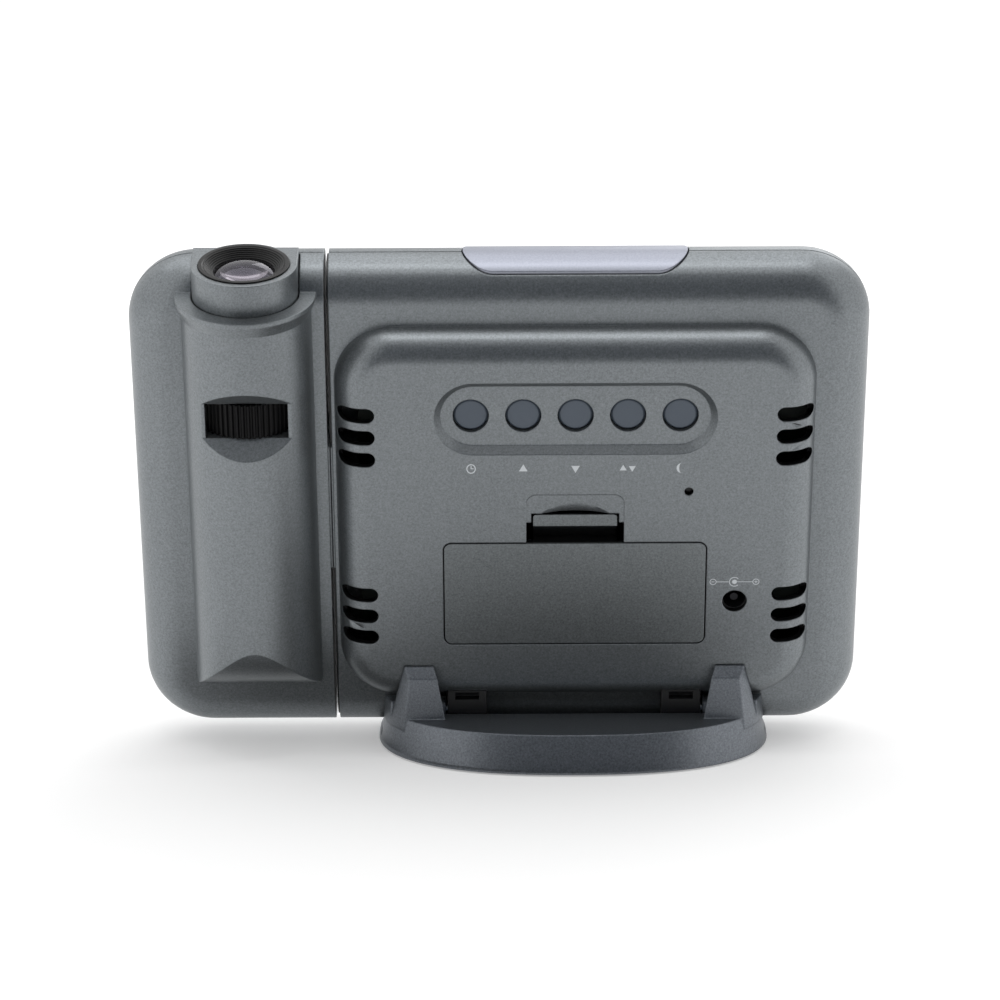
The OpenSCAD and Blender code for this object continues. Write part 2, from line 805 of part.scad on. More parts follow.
// The latch: a strip that runs inwards from the door's edge, turns back and ends in the lip
module latch_spring(half) {
    turn_r = (lip_low - door_high + 2 * latch_t) / 2;
    turn_v = door_high - latch_t + turn_r;
    turn_w = door_in - 2.5;
    translate([-half, door_high - latch_t, turn_w]) cube([2 * half, latch_t, door_in - turn_w]);
    translate([-half, lip_low, turn_w]) cube([2 * half, latch_t, hump_back - turn_w - 0.6]);
    translate([0, lip_low + latch_lip_h / 2, hump_back - 1.6])
        linear_extrude(1) rounded_rectangle(2 * half, latch_lip_h, 0.8);
    translate([0, turn_v, turn_w]) intersection() {
        difference() {
            cross_rod(turn_r, -half, half);
            cross_rod(turn_r - latch_t, -half - 1, half + 1);
        }
        ahead_of(0);
    }
}

module snooze_bar() {
    color([0.75, 0.75, 0.8]) on_body() {
        intersection() {
            edge_band(-snooze_proud, wall + 1.6);
            snooze_outline(0);
        }
        intersection() {
            edge_band(wall + 0.3, wall + 1.6);
            snooze_outline(1.2);
        }
    }
}

module button(i) {
    color([0.3, 0.33, 0.36]) on_body() translate([hump_x + i * button_pitch, panel_v, 0]) {
        translate([0, 0, flange_back - flange_t])
            cylinder(d = button_d, h = button_face - flange_back + flange_t - 0.5);
        translate([0, 0, button_face - 0.5])
            cylinder(d1 = button_d, d2 = button_d - 1, h = 0.5);
        translate([0, 0, flange_back - flange_t]) cylinder(d = button_d + 2, h = flange_t);
    }
}

module button_1() {
    button(-2);
}

module button_2() {
    button(-1);
}

module button_3() {
    button(0);
}

module button_4() {
    button(1);
}

module button_5() {
    button(2);
}

module reset_pin() {
    color("black") on_body() translate([hump_x + reset_x, reset_v, 0]) {
        translate([0, 0, inner_back - 1.1]) cylinder(d = reset_hole_d - 0.5, h = 1.5);
        translate([0, 0, inner_back - 1.1]) cylinder(d = reset_hole_d + 1.5, h = 1);
    }
}

// The tube's outer form, or its inside when inset is the wall
module tube_form(inset, top) {
    centre_v = tube_end_centre_v();
    intersection() {
        translate([tube_axis_x, 0, lens_w])
            upright_rod(tube_r - inset, -tube_low - 1, top);
        union() {
            translate([0, centre_v, tube_end_centre_w()]) cross_rod(tube_end_r - inset, -big, big);
            translate([-big, centre_v, -big]) cube(2 * big);
        }
    }
}

// Middle of the arc that passes through the tube's base line and its crown
function crown_out() = lens_w + tube_r - back;
function chord() = norm([tube_end_h, crown_out()]);
function chord_drop() = sqrt(tube_end_r * tube_end_r - chord() * chord() / 4);
function tube_end_centre_v() = tube_end_h / 2 + chord_drop() * crown_out() / chord() - tube_low;
function tube_end_centre_w() = back + crown_out() / 2 - chord_drop() * tube_end_h / chord();

module thumb_scoops() {
    reach = window_h / 2 + scoop_h;
    base = tube_r - scoop_depth;
    translate([tube_axis_x - big / 2, window_v, lens_w]) rotate([90, 0, 90])
        linear_extrude(big) polygon([[-reach, tube_r + 0.01], [-window_h / 2, base],
            [window_h / 2, base], [reach, tube_r + 0.01]]);
    translate([tube_axis_x - window_w / 2, window_v - window_h / 2, lens_w])
        cube([window_w, window_h, tube_r]);
}

module wing_rear_cover() {
    color(paint) on_body() difference() {
        union() {
            intersection() {
                wing_slab();
                behind(0);
            }
            intersection() {
                tube_form(0, tube_top);
                behind(back - wall);
            }
            intersection() {
                translate([tube_axis_x, 0, lens_w]) {
                    upright_rod(tube_r + lip_out, tube_top - lip_h, tube_top);
                    translate([0, tube_top - lip_h - lip_slope_h, 0]) rotate([-90, 0, 0])
                        cylinder(r1 = tube_r, r2 = tube_r + lip_out, h = lip_slope_h);
                }
                behind(back - wall);
            }
            intersection() {
                hub_plate(wing_edge - wall, wing_edge + seam_gap / 2 - 0.1);
                behind(0);
            }
        }
        difference() {
            union() {
                intersection() {
                    wing_slab(wall);
                    behind(-1);
                }
                tube_form(tube_wall, tube_top - tube_wall);
            }
            intersection() {
                tube_form(0, window_v + window_h / 2 + scoop_h + tube_wall);
                behind(back - wall);
                translate([-big, window_v - window_h / 2 - scoop_h - tube_wall, -big]) cube(2 * big);
            }
        }
        translate([tube_axis_x, 0, lens_w]) {
            upright_rod(wheel_r + 0.3, window_v - window_h / 2, window_v + window_h / 2);
            upright_rod(barrel_r + 0.3, 0, tube_top);
        }
        collar_form(collar_gap);
        parting_groove();
        axle_hole();
        thumb_scoops();
        wing_screw_places() translate([0, 0, -4]) cylinder(r = screw_r, h = 10);
    }
}

module wing_screw_places() {
    for (side = [-1, 1])
        translate([9 - body_w / 2, side * (body_h / 2 - 23), 0]) children();
}

module wing_front_cover() {
    color(paint) on_body() difference() {
        union() {
            difference() {
                intersection() {
                    wing_slab();
                    ahead_of(0);
                }
                intersection() {
                    wing_slab(wall);
                    ahead_of(1);
                }
            }
            intersection() {
                hub_plate(wing_edge - wall, wing_edge + seam_gap / 2 - 0.1);
                ahead_of(0);
            }
            wing_screw_places() translate([0, 0, -back + wall / 2])
                cylinder(r = boss_r, h = back - wall / 2);
        }
        axle_hole();
        collar_form(collar_gap);
        wing_screw_places() translate([0, 0, -5]) cylinder(r = screw_r, h = 10);
    }
}

module wing_screws() {
    color("silver") on_body() wing_screw_places() translate([0, 0, -4]) cylinder(r = screw_r, h = 8);
}

module axle_ring() {
    color("silver") on_body() difference() {
        cross_rod(axle_r + 2.5, wing_edge - wall - 1.7, wing_edge - wall - 0.2);
        cross_rod(axle_r, wing_edge - wall - 5, wing_edge - wall + 5);
    }
}

// The collar's outer form: a round back, and a flat shelf with a thinner round front
module collar_form(grow) {
    low = tube_top - 6;
    translate([tube_axis_x, 0, lens_w]) {
        upright_rod(head_r + collar_rim + grow, low, collar_top);
        intersection() {
            upright_rod(collar_r + grow, low, collar_top);
            behind(0);
        }
        translate([-collar_r - grow, low, -shelf_l - grow])
            cube([2 * (collar_r + grow), collar_top - low, shelf_l + grow]);
    }
}

module lens_collar() {
    color(paint) on_body() difference() {
        collar_form(0);
        translate([tube_axis_x, 0, lens_w]) upright_rod(head_r + fit_gap, 0, big);
    }
}

module optics_frame() {
    color(dark_plastic) on_body() translate([tube_axis_x, 0, lens_w]) difference() {
        upright_rod(tube_r - tube_wall - fit_gap, -28, 12);
        upright_rod(8, -30, 14);
        upright_rod(condenser_r, -15, -9);
        translate([-8, 0, -8]) cube([16, 2, 16]);
    }
}

module led_board() {
    color("white") on_body() translate([tube_axis_x, 0, lens_w])
        upright_rod(tube_r - tube_wall - 1, -29.6, -28);
}

module led_lamp() {
    color([1, 0.8, 0.7]) on_body() translate([tube_axis_x, 0, lens_w]) {
        upright_rod(2.5, -28, -23);
        translate([0, -23, 0]) sphere(2.5);
    }
}

// A lens with two round faces, half as thick as crest in its middle and as edge at its rim
module lens(r, crest, edge) {
    sag = crest - edge;
    curve = (r * r + sag * sag) / (2 * sag);
    rotate([-90, 0, 0]) intersection() {
        cylinder(r = r, h = 2 * crest, center = true);
        translate([0, 0, crest - curve]) sphere(curve);
        translate([0, 0, curve - crest]) sphere(curve);
    }
}

module condenser_lens() {
    color([0.8, 0.9, 1, 0.5]) on_body() translate([tube_axis_x, -12, lens_w])
        lens(condenser_r, 3, 1);
}

module image_lcd() {
    color([0.5, 0.55, 0.5]) on_body() translate([tube_axis_x - 8, 0, lens_w - 8])
        cube([16, 2, 16]);
}

// The rib is one flat tooth of the knurling, seen along the tube
module focus_wheel() {
    step = 360 / wheel_ribs;
    root = wheel_r - 0.6;
    outline = [for (i = [0 : wheel_ribs - 1], corner = [[root, 0], [wheel_r, 0.2], [wheel_r, 0.5],
        [root, 0.7]]) let (a = (i + corner[1]) * step) corner[0] * [cos(a), sin(a)]];
    color(dark_plastic) on_body() translate([tube_axis_x, window_v - wheel_h / 2, lens_w])
        rotate([-90, 0, 0]) difference() {
            linear_extrude(wheel_h) polygon(outline);
            translate([0, 0, -1]) cylinder(r = barrel_r + fit_gap, h = wheel_h + 2);
        }
}

module lens_barrel() {
    lens_seat = collar_top - lens_depth;
    color(dark_plastic) on_body() translate([tube_axis_x, 0, lens_w]) difference() {
        union() {
            upright_rod(barrel_r, window_v - window_h / 2 - 4, collar_top);
            upright_rod(head_r, collar_top - 6, collar_top + 0.3);
        }
        upright_rod(lens_r - 0.8, 0, big);
        upright_rod(lens_r, lens_seat - 3, lens_seat);
        translate([0, lens_seat, 0]) rotate([-90, 0, 0])
            cylinder(r1 = lens_r - 0.8, r2 = head_r - 0.9, h = lens_depth + 0.31);
    }
}

module projection_lens() {
    lens_seat = collar_top - lens_depth;
    color([0.8, 0.9, 1, 0.5]) on_body() translate([tube_axis_x, lens_seat - 1.5, lens_w])
        lens(lens_r, 2.4, 0.9);
}

// Outline of the foot: a superellipse
function foot_outline(a, b) = [for (i = [0 : 2.5 : 357.5])
    [a * fullness(cos(i)), b * fullness(sin(i))]];
function fullness(t) = sign(t) * pow(abs(t), 2 / foot_power);

// The foot's outer form up to the deck, with its leaning wall
module foot_form() {
    translate([0, -foot_forward, pad_out])
        linear_extrude(deck_h - pad_out, scale = [deck_a / foot_a, deck_b / foot_b], slices = 1)
            polygon(foot_outline(foot_a, foot_b));
}

// Draws a side view, with y behind the hinge and z above the table, right across the foot
module across_foot() {
    translate([-big / 2, 0, 0]) rotate([90, 0, 90]) linear_extrude(big) children();
}

// A point in front of an arm's top, at a height along the body above the hinge
function stop_point(v) = let (w = hump_back + stop_gap - hinge_w)
    [v * sin(lean) + w * cos(lean), hinge_h + v * cos(lean) - w * sin(lean)];

// Side view of the foot: deck, trough under the body, and front rim
module foot_side() {
    polygon([[-big / 2, 0], [big / 2, 0], [big / 2, deck_h], [deck_front, deck_h],
        [deck_front, floor_h], [-trough_front, floor_h], [-trough_front, rim_h], [-big / 2, rim_h]]);
}

// Side view of an arm
module arm_side() {
    polygon([[-arm_front, 0], [arm_back, 0], [arm_back, hinge_h + arm_rise],
        stop_point(arm_rise + arm_slope + 1.3), stop_point(0), [3, hinge_h + 3],
        [-arm_front, hinge_h + 3]]);
}

// Both arms' inner bounds: flanks that turn and lean outwards
module arms() {
    for (side = [0, 1])
        mirror([side, 0, 0]) intersection() {
            across_foot() arm_side();
            translate([arm_x, arm_back, deck_h]) rotate([0, arm_in_lean, arm_turn])
                translate([0, -big / 2, -big / 2]) cube(big);
        }
}

// The round outer flanks of the arms, from just below the deck
module arm_flanks() {
    for (side = [-1, 1])
        translate([side * arm_flank_x, arm_flank_y, deck_h - 3])
            cylinder(r1 = arm_out_r + 3 * arm_out_taper, r2 = arm_out_r - 27 * arm_out_taper, h = 30);
}

module stand_base() {
    color(paint) translate([foot_x, hinge_y, 0]) difference() {
        union() {
            intersection() {
                foot_form();
                union() {
                    across_foot() foot_side();
                    arms();
                }
            }
            intersection() {
                arms();
                arm_flanks();
            }
            for (side = [-1, 1])
                translate([side * (arm_x + 3), 0, hinge_h]) cross_rod(pin_boss_r, -3, 3);
        }
        translate([0, 0, hinge_h]) cross_rod(pin_r, -pin_end, pin_end);
        pad_places() translate([0, 0, -1]) cylinder(d = pad_d, h = pad_out + 2);
    }
}

module pad_places() {
    for (x = [-0.7, 0.7], y = [-0.5, 0.5])
        translate([x * foot_a, y * foot_b - foot_forward, 0]) children();
}

module stand_pads() {
    color("black") translate([foot_x, hinge_y, 0])
        pad_places() cylinder(d = pad_d, h = pad_out + 1);
}

module hinge_pins() {
    color("silver") translate([foot_x, hinge_y, hinge_h]) for (side = [-1, 1])
        translate([side * (pin_end - pin_l / 2), 0, 0]) cross_rod(pin_r, -pin_l / 2, pin_l / 2);
}

stand_base();
stand_pads();
hinge_pins();
rear_cover();
front_bezel();
display_window();
lcd_panel();
backlight();
main_board();
board_screws();
standoffs();
key_board();
key_switches();
buzzer();
temperature_sensor();
power_socket();
socket_pin();
battery_cells();
battery_springs();
battery_plates();
case_screws();
seam_plate();
wing_axle();
projector_lead();
battery_door();
snooze_bar();
button_1();
button_2();
button_3();
button_4();
button_5();
reset_pin();
wing_rear_cover();
wing_front_cover();
axle_ring();
lens_collar();
optics_frame();
led_board();
led_lamp();
condenser_lens();
image_lcd();
wing_screws();
focus_wheel();
lens_barrel();
projection_lens();
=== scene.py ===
# %% [markdown]
# A projection alarm clock seen from behind: a leaning slab with a raised rear housing, a projector
# wing beside it and an oval stand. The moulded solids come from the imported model, so this script
# adds what a solid model leaves out: finishes, printed symbols, display segments, coil springs,
# lens rings and light. Loading the frame first gives every node at rest in one shared frame.

# %% Load the clock
import math

import bmesh
import bpy
from mathutils import Matrix, Vector


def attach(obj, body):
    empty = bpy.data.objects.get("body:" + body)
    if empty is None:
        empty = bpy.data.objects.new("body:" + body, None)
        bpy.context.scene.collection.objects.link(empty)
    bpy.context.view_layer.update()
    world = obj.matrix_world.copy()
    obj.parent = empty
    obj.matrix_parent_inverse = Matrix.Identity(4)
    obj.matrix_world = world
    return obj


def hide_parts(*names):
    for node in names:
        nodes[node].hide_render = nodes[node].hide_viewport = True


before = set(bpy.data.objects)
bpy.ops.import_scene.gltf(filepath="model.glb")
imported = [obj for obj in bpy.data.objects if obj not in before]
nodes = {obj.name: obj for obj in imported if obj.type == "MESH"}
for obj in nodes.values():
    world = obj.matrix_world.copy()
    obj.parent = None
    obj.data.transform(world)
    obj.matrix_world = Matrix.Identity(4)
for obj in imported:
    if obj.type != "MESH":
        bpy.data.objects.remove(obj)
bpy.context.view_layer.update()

# %% [markdown]
# The clock leans back on its stand, so its rear isn't upright. It is easiest to draw each small
# piece in a flat back view (x right, y up, z out of the rear, in millimetres) and to turn it onto
# the leaning body at the end. One matrix does that for the rear, and a turned one for the display.

# %% Places on the leaning body
LEAN = math.radians(14.5)
HINGE_Y = 2.1307
HINGE_Z = 9.8
HINGE_V = 55.8
HINGE_W = 14.0
BACK_VIEW = (
    Matrix.Scale(0.001, 4)
    @ Matrix.Translation((0, HINGE_Y, HINGE_Z))
    @ Matrix.Rotation(-LEAN, 4, "X")
    @ Matrix.Rotation(math.pi, 4, "Z")
    @ Matrix.Rotation(math.pi / 2, 4, "X")
    @ Matrix.Translation((0, HINGE_V, -HINGE_W))
)
FRONT_VIEW = BACK_VIEW @ Matrix.Rotation(math.pi, 4, "Y")
HUMP_X = 18.4
REAR_W = 17.4
DISPLAY_X = 19.5
TUBE_X = -60.8
LENS_W = 10.6
print("middle of the rear housing:", [round(v, 4) for v in BACK_VIEW @ Vector((HUMP_X, 0, REAR_W))])

# %% [markdown]
# Every new piece ends the same way: its normals point outwards, its place goes into its mesh, it
# gets its finish and it rides on the body that carries it. A short helper keeps that in one spot.
# Smooth shading with a limit angle keeps flat faces flat and round ones round.

# %% A helper that finishes a piece
MERGE_REACH = 1e-5
SMOOTH_LIMIT = math.radians(35)


def finish_piece(name, bm, place, finish, body, smooth=True):
    bmesh.ops.remove_doubles(bm, verts=bm.verts, dist=MERGE_REACH)
    bmesh.ops.recalc_face_normals(bm, faces=bm.faces)
    bmesh.ops.transform(bm, matrix=place, verts=bm.verts)
    mesh = bpy.data.meshes.new(name)
    for face in bm.faces:
        face.smooth = smooth
    for edge in bm.edges:
        if len(edge.link_faces) == 2 and edge.calc_face_angle(0) > SMOOTH_LIMIT:
            edge.smooth = False
    bm.to_mesh(mesh)
    bm.free()
    mesh.materials.append(finish)
    piece = bpy.data.objects.new(name, mesh)
    bpy.context.collection.objects.link(piece)
    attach(piece, body)
    print(name, "faces:", len(mesh.polygons))
    return piece

# %% [markdown]
# The covers are sprayed with a satin grey paint that holds fine metal flakes. Close up it is a
# field of tiny light and dark specks, and it shines softly. A node group makes the specks from two
# noises on Object coordinates, so that they have a real size, and rounds the edges of the mould
# with a Bevel node, so that each edge catches a thin line of light as a moulded one does.

# %% Small helpers for node trees
def add(tree, kind, **values):
    node = tree.nodes.new(kind)
    for key, value in values.items():
        setattr(node, key, value)
    return node


def fill(node, values):
    for socket, value in values.items():
        node.inputs[socket].default_value = value
    return node


def new_group(name, sockets_in, sockets_out):
    tree = bpy.data.node_groups.new(name, "ShaderNodeTree")
    for label, kind, value in sockets_in:
        socket = tree.interface.new_socket(label, in_out="INPUT", socket_type=kind)
        socket.default_value = value
    for label, kind in sockets_out:
        tree.interface.new_socket(label, in_out="OUTPUT", socket_type=kind)
    return tree, add(tree, "NodeGroupInput"), add(tree, "NodeGroupOutput")


def srgb(red, green, blue):
    def linear(value):
        value /= 255
        return value / 12.92 if value <= 0.04045 else ((value + 0.055) / 1.055) ** 2.4
    return (linear(red), linear(green), linear(blue), 1.0)

# %% The paint's speckle group
BEVEL_SAMPLES = 6
BUMP_DEPTH = 0.00003
speckle, speck_in, speck_out = new_group(
    "metal_flake_paint",
    [("Dark", "NodeSocketColor", srgb(92, 97, 99)), ("Light", "NodeSocketColor", srgb(140, 146, 148)),
     ("Flake scale", "NodeSocketFloat", 2000.0), ("Edge radius", "NodeSocketFloat", 0.0004),
     ("Bump", "NodeSocketFloat", 0.1)],
    [("Colour", "NodeSocketColor"), ("Roughness", "NodeSocketFloat"), ("Normal", "NodeSocketVector")])
place_in = add(speckle, "ShaderNodeTexCoord")
flakes = fill(add(speckle, "ShaderNodeTexNoise"), {"Detail": 5.0, "Roughness": 0.78})
clouds = fill(add(speckle, "ShaderNodeTexNoise"), {"Scale": 28.0, "Detail": 2.0})
stretch = fill(add(speckle, "ShaderNodeMapRange"), {"From Min": 0.2, "From Max": 0.8})
drift = fill(add(speckle, "ShaderNodeMapRange"), {"To Min": -0.05, "To Max": 0.05})
total = add(speckle, "ShaderNodeMath", operation="ADD", use_clamp=True)
blend = add(speckle, "ShaderNodeMix", data_type="RGBA")
shine = fill(add(speckle, "ShaderNodeMapRange"), {"To Min": 0.33, "To Max": 0.43})
round_edge = add(speckle, "ShaderNodeBevel", samples=BEVEL_SAMPLES)
grain = fill(add(speckle, "ShaderNodeBump"), {"Distance": BUMP_DEPTH})
link = speckle.links.new
link(place_in.outputs["Object"], flakes.inputs["Vector"])
link(place_in.outputs["Object"], clouds.inputs["Vector"])
link(speck_in.outputs["Flake scale"], flakes.inputs["Scale"])
link(flakes.outputs["Fac"], stretch.inputs["Value"])
link(clouds.outputs["Fac"], drift.inputs["Value"])
link(stretch.outputs["Result"], total.inputs[0])
link(drift.outputs["Result"], total.inputs[1])
link(total.outputs["Value"], blend.inputs["Factor"])
link(speck_in.outputs["Dark"], blend.inputs["A"])
link(speck_in.outputs["Light"], blend.inputs["B"])
link(total.outputs["Value"], shine.inputs["Value"])
link(speck_in.outputs["Edge radius"], round_edge.inputs["Radius"])
link(round_edge.outputs["Normal"], grain.inputs["Normal"])
link(flakes.outputs["Fac"], grain.inputs["Height"])
link(speck_in.outputs["Bump"], grain.inputs["Strength"])
link(blend.outputs["Result"], speck_out.inputs["Colour"])
link(shine.outputs["Result"], speck_out.inputs["Roughness"])
link(grain.outputs["Normal"], speck_out.inputs["Normal"])
print("group:", speckle.name, "nodes:", len(speckle.nodes))

# %% [markdown]
# Plain moulded plastic, rubber and metal need less: a fine surface grain that breaks the gloss, a
# slight drift of tone over the part, and the same rounded edges. A second group gives those from
# one tone, and each finish sets its own metal and gloss values on the shader itself.

# %% The moulded grain group
moulded, mould_in, mould_out = new_group(
    "moulded_grain",
    [("Tone", "NodeSocketColor", (0.1, 0.1, 0.1, 1)), ("Drift", "NodeSocketFloat", 0.12),
     ("Grain scale", "NodeSocketFloat", 3000.0), ("Low gloss", "NodeSocketFloat", 0.5),
     ("High gloss", "NodeSocketFloat", 0.35), ("Edge radius", "NodeSocketFloat", 0.0002),
     ("Bump", "NodeSocketFloat", 0.12)],
    [("Colour", "NodeSocketColor"), ("Roughness", "NodeSocketFloat"), ("Normal", "NodeSocketVector")])
place_in = add(moulded, "ShaderNodeTexCoord")
fine = fill(add(moulded, "ShaderNodeTexNoise"), {"Detail": 2.0})
wide = fill(add(moulded, "ShaderNodeTexNoise"), {"Scale": 45.0, "Detail": 3.0})
swing = add(moulded, "ShaderNodeMath", operation="SUBTRACT")
swing.inputs[1].default_value = 0.5
depth = add(moulded, "ShaderNodeMath", operation="MULTIPLY")
level = add(moulded, "ShaderNodeMath", operation="ADD")
level.inputs[1].default_value = 1.0
tint = add(moulded, "ShaderNodeHueSaturation")
gloss = fill(add(moulded, "ShaderNodeMapRange"), {"From Min": 0.3, "From Max": 0.7})
round_edge = add(moulded, "ShaderNodeBevel", samples=BEVEL_SAMPLES)
grain = fill(add(moulded, "ShaderNodeBump"), {"Distance": BUMP_DEPTH})
link = moulded.links.new
link(place_in.outputs["Object"], fine.inputs["Vector"])
link(place_in.outputs["Object"], wide.inputs["Vector"])
link(mould_in.outputs["Grain scale"], fine.inputs["Scale"])
link(wide.outputs["Fac"], swing.inputs[0])
link(swing.outputs["Value"], depth.inputs[0])
link(mould_in.outputs["Drift"], depth.inputs[1])
link(depth.outputs["Value"], level.inputs[0])
link(level.outputs["Value"], tint.inputs["Value"])
link(mould_in.outputs["Tone"], tint.inputs["Color"])
link(fine.outputs["Fac"], gloss.inputs["Value"])
link(mould_in.outputs["Low gloss"], gloss.inputs["To Min"])
link(mould_in.outputs["High gloss"], gloss.inputs["To Max"])
link(mould_in.outputs["Edge radius"], round_edge.inputs["Radius"])
link(round_edge.outputs["Normal"], grain.inputs["Normal"])
link(fine.outputs["Fac"], grain.inputs["Height"])
link(mould_in.outputs["Bump"], grain.inputs["Strength"])
link(tint.outputs["Color"], mould_out.inputs["Colour"])
link(gloss.outputs["Result"], mould_out.inputs["Roughness"])
link(grain.outputs["Normal"], mould_out.inputs["Normal"])
print("group:", moulded.name, "nodes:", len(moulded.nodes))

# %% One function turns a group into a finish
def finish_from(name, group, settings, shader):
    material = bpy.data.materials.new(name)
    material.use_nodes = True
    tree = material.node_tree
    surface = fill(tree.nodes["Principled BSDF"], shader)
    source = fill(add(tree, "ShaderNodeGroup", node_tree=group), settings)
    if "Base Color" not in shader:
        tree.links.new(source.outputs["Colour"], surface.inputs["Base Color"])
    tree.links.new(source.outputs["Roughness"], surface.inputs["Roughness"])
    tree.links.new(source.outputs["Normal"], surface.inputs["Normal"])
    print("finish:", name)
    return material

# %% [markdown]
# The walls of every slot and opening, just below the outer skin, get a near-black tone. It stands
# partly for bare plastic that the outside spray doesn't reach and partly for painted shade inside
# the openings. A shader can find those walls by their depth under the outer skin. A first group
# turns Object coordinates into the flat back view, in millimetres.

# %% Back view coordinates in a shader
flat_view, _, flat_out = new_group(
    "back_view_place", [], [("Right", "NodeSocketFloat"), ("Up", "NodeSocketFloat"),
                            ("Out", "NodeSocketFloat")])
place_in = add(flat_view, "ShaderNodeTexCoord")
from_hinge = add(flat_view, "ShaderNodeVectorMath", operation="SUBTRACT")
from_hinge.inputs[1].default_value = (0, HINGE_Y / 1000, HINGE_Z / 1000)
flat_view.links.new(place_in.outputs["Object"], from_hinge.inputs[0])
for label, axis, shift in (("Right", (-1, 0, 0), 0),
                           ("Up", (0, math.sin(LEAN), math.cos(LEAN)), -HINGE_V),
                           ("Out", (0, math.cos(LEAN), -math.sin(LEAN)), HINGE_W)):
    along = add(flat_view, "ShaderNodeVectorMath", operation="DOT_PRODUCT")
    along.inputs[1].default_value = [1000 * part for part in axis]
    moved = add(flat_view, "ShaderNodeMath", operation="ADD")
    moved.inputs[1].default_value = shift
    flat_view.links.new(from_hinge.outputs["Vector"], along.inputs[0])
    flat_view.links.new(along.outputs["Value"], moved.inputs[0])
    flat_view.links.new(moved.outputs["Value"], flat_out.inputs[label])
print("group:", flat_view.name)

# %% Small maths helpers for masks
def maths(tree, operation, first, second=None):
    node = add(tree, "ShaderNodeMath", operation=operation)
    for socket, value in zip(node.inputs, (first, second)):
        if isinstance(value, (int, float)):
            socket.default_value = value
        elif value is not None:
            tree.links.new(value, socket)
    return node.outputs["Value"]


def distance(tree, value, middle):
    return maths(tree, "ABSOLUTE", maths(tree, "SUBTRACT", value, middle))


def within(tree, value, middle, reach):
    return maths(tree, "LESS_THAN", distance(tree, value, middle), reach)

# %% Where the rear housing is bare or in painted shade
HUMP_HALF_W = 58.5
HUMP_ROUND = 7.4
DARK_WALL_DEPTH = 0.35
OPENINGS_HALF_W = 58.0
OPENINGS_V = -1.05
OPENINGS_HALF_H = 36.2
PANEL_HALF_W = 37.0
PANEL_LOW_V = 17.5
THUMB_HALF_W = 12.4
THUMB_V = 4.9
THUMB_HALF_H = 3.3
LUG_X = 26.9
LUG_HALF_W = 4.96
LUG_TOP_V = -48.96
rear_bare_and_shaded, _, dark_wall_out = new_group("rear_bare_and_shaded_walls", [], [("Bare and shaded", "NodeSocketFloat")])
view = add(rear_bare_and_shaded, "ShaderNodeGroup", node_tree=flat_view)
right_of, up_of, out_of = (view.outputs[label] for label in ("Right", "Up", "Out"))
from_middle = distance(rear_bare_and_shaded, right_of, HUMP_X)
past_flat = maths(rear_bare_and_shaded, "SUBTRACT", from_middle, HUMP_HALF_W - HUMP_ROUND)
past_flat = maths(rear_bare_and_shaded, "MAXIMUM", past_flat, 0.0)
arc = maths(rear_bare_and_shaded, "SUBTRACT", HUMP_ROUND ** 2, maths(rear_bare_and_shaded, "MULTIPLY", past_flat, past_flat))
arc = maths(rear_bare_and_shaded, "SQRT", maths(rear_bare_and_shaded, "MAXIMUM", arc, 0.0))
skin = maths(rear_bare_and_shaded, "ADD", arc, REAR_W - HUMP_ROUND - DARK_WALL_DEPTH)
deep = maths(rear_bare_and_shaded, "LESS_THAN", out_of, skin)
inside = maths(rear_bare_and_shaded, "MULTIPLY", within(rear_bare_and_shaded, right_of, HUMP_X, OPENINGS_HALF_W),
               within(rear_bare_and_shaded, up_of, OPENINGS_V, OPENINGS_HALF_H))
panel = maths(rear_bare_and_shaded, "MULTIPLY", within(rear_bare_and_shaded, right_of, HUMP_X, PANEL_HALF_W),
              maths(rear_bare_and_shaded, "GREATER_THAN", up_of, PANEL_LOW_V))
thumb = maths(rear_bare_and_shaded, "MULTIPLY", within(rear_bare_and_shaded, right_of, HUMP_X, THUMB_HALF_W),
              within(rear_bare_and_shaded, up_of, THUMB_V, THUMB_HALF_H))
uncovered = maths(rear_bare_and_shaded, "SUBTRACT", 1.0, maths(rear_bare_and_shaded, "MAXIMUM", panel, thumb))
walls = maths(rear_bare_and_shaded, "MULTIPLY", maths(rear_bare_and_shaded, "MULTIPLY", deep, inside), uncovered)
# The hinge lugs below the housing take the same near-black tone: painted shade, as they sit in the
# shadow under the housing's lower edge.
lug_painted_shade = maths(rear_bare_and_shaded, "MULTIPLY", within(rear_bare_and_shaded, from_middle, LUG_X, LUG_HALF_W),
             maths(rear_bare_and_shaded, "LESS_THAN", up_of, LUG_TOP_V))
rear_bare_and_shaded.links.new(maths(rear_bare_and_shaded, "MAXIMUM", walls, lug_painted_shade), dark_wall_out.inputs["Bare and shaded"])
print("group:", rear_bare_and_shaded.name)

# %% Where the battery door is bare or in painted shade
DOOR_SKIN_W = 16.7
door_bare_and_shaded, _, dark_wall_out = new_group("door_bare_and_shaded_walls", [], [("Bare and shaded", "NodeSocketFloat")])
view = add(door_bare_and_shaded, "ShaderNodeGroup", node_tree=flat_view)
under_skin = maths(door_bare_and_shaded, "LESS_THAN", view.outputs["Out"], DOOR_SKIN_W)
door_bare_and_shaded.links.new(under_skin, dark_wall_out.inputs["Bare and shaded"])
print("group:", door_bare_and_shaded.name)

# %% A helper that gives bare and shaded walls a near-black tone
# near-black tone: bare plastic, and painted shade in the openings and in the gaps round the door
BARE_AND_SHADE_TONE = srgb(14, 14, 15)


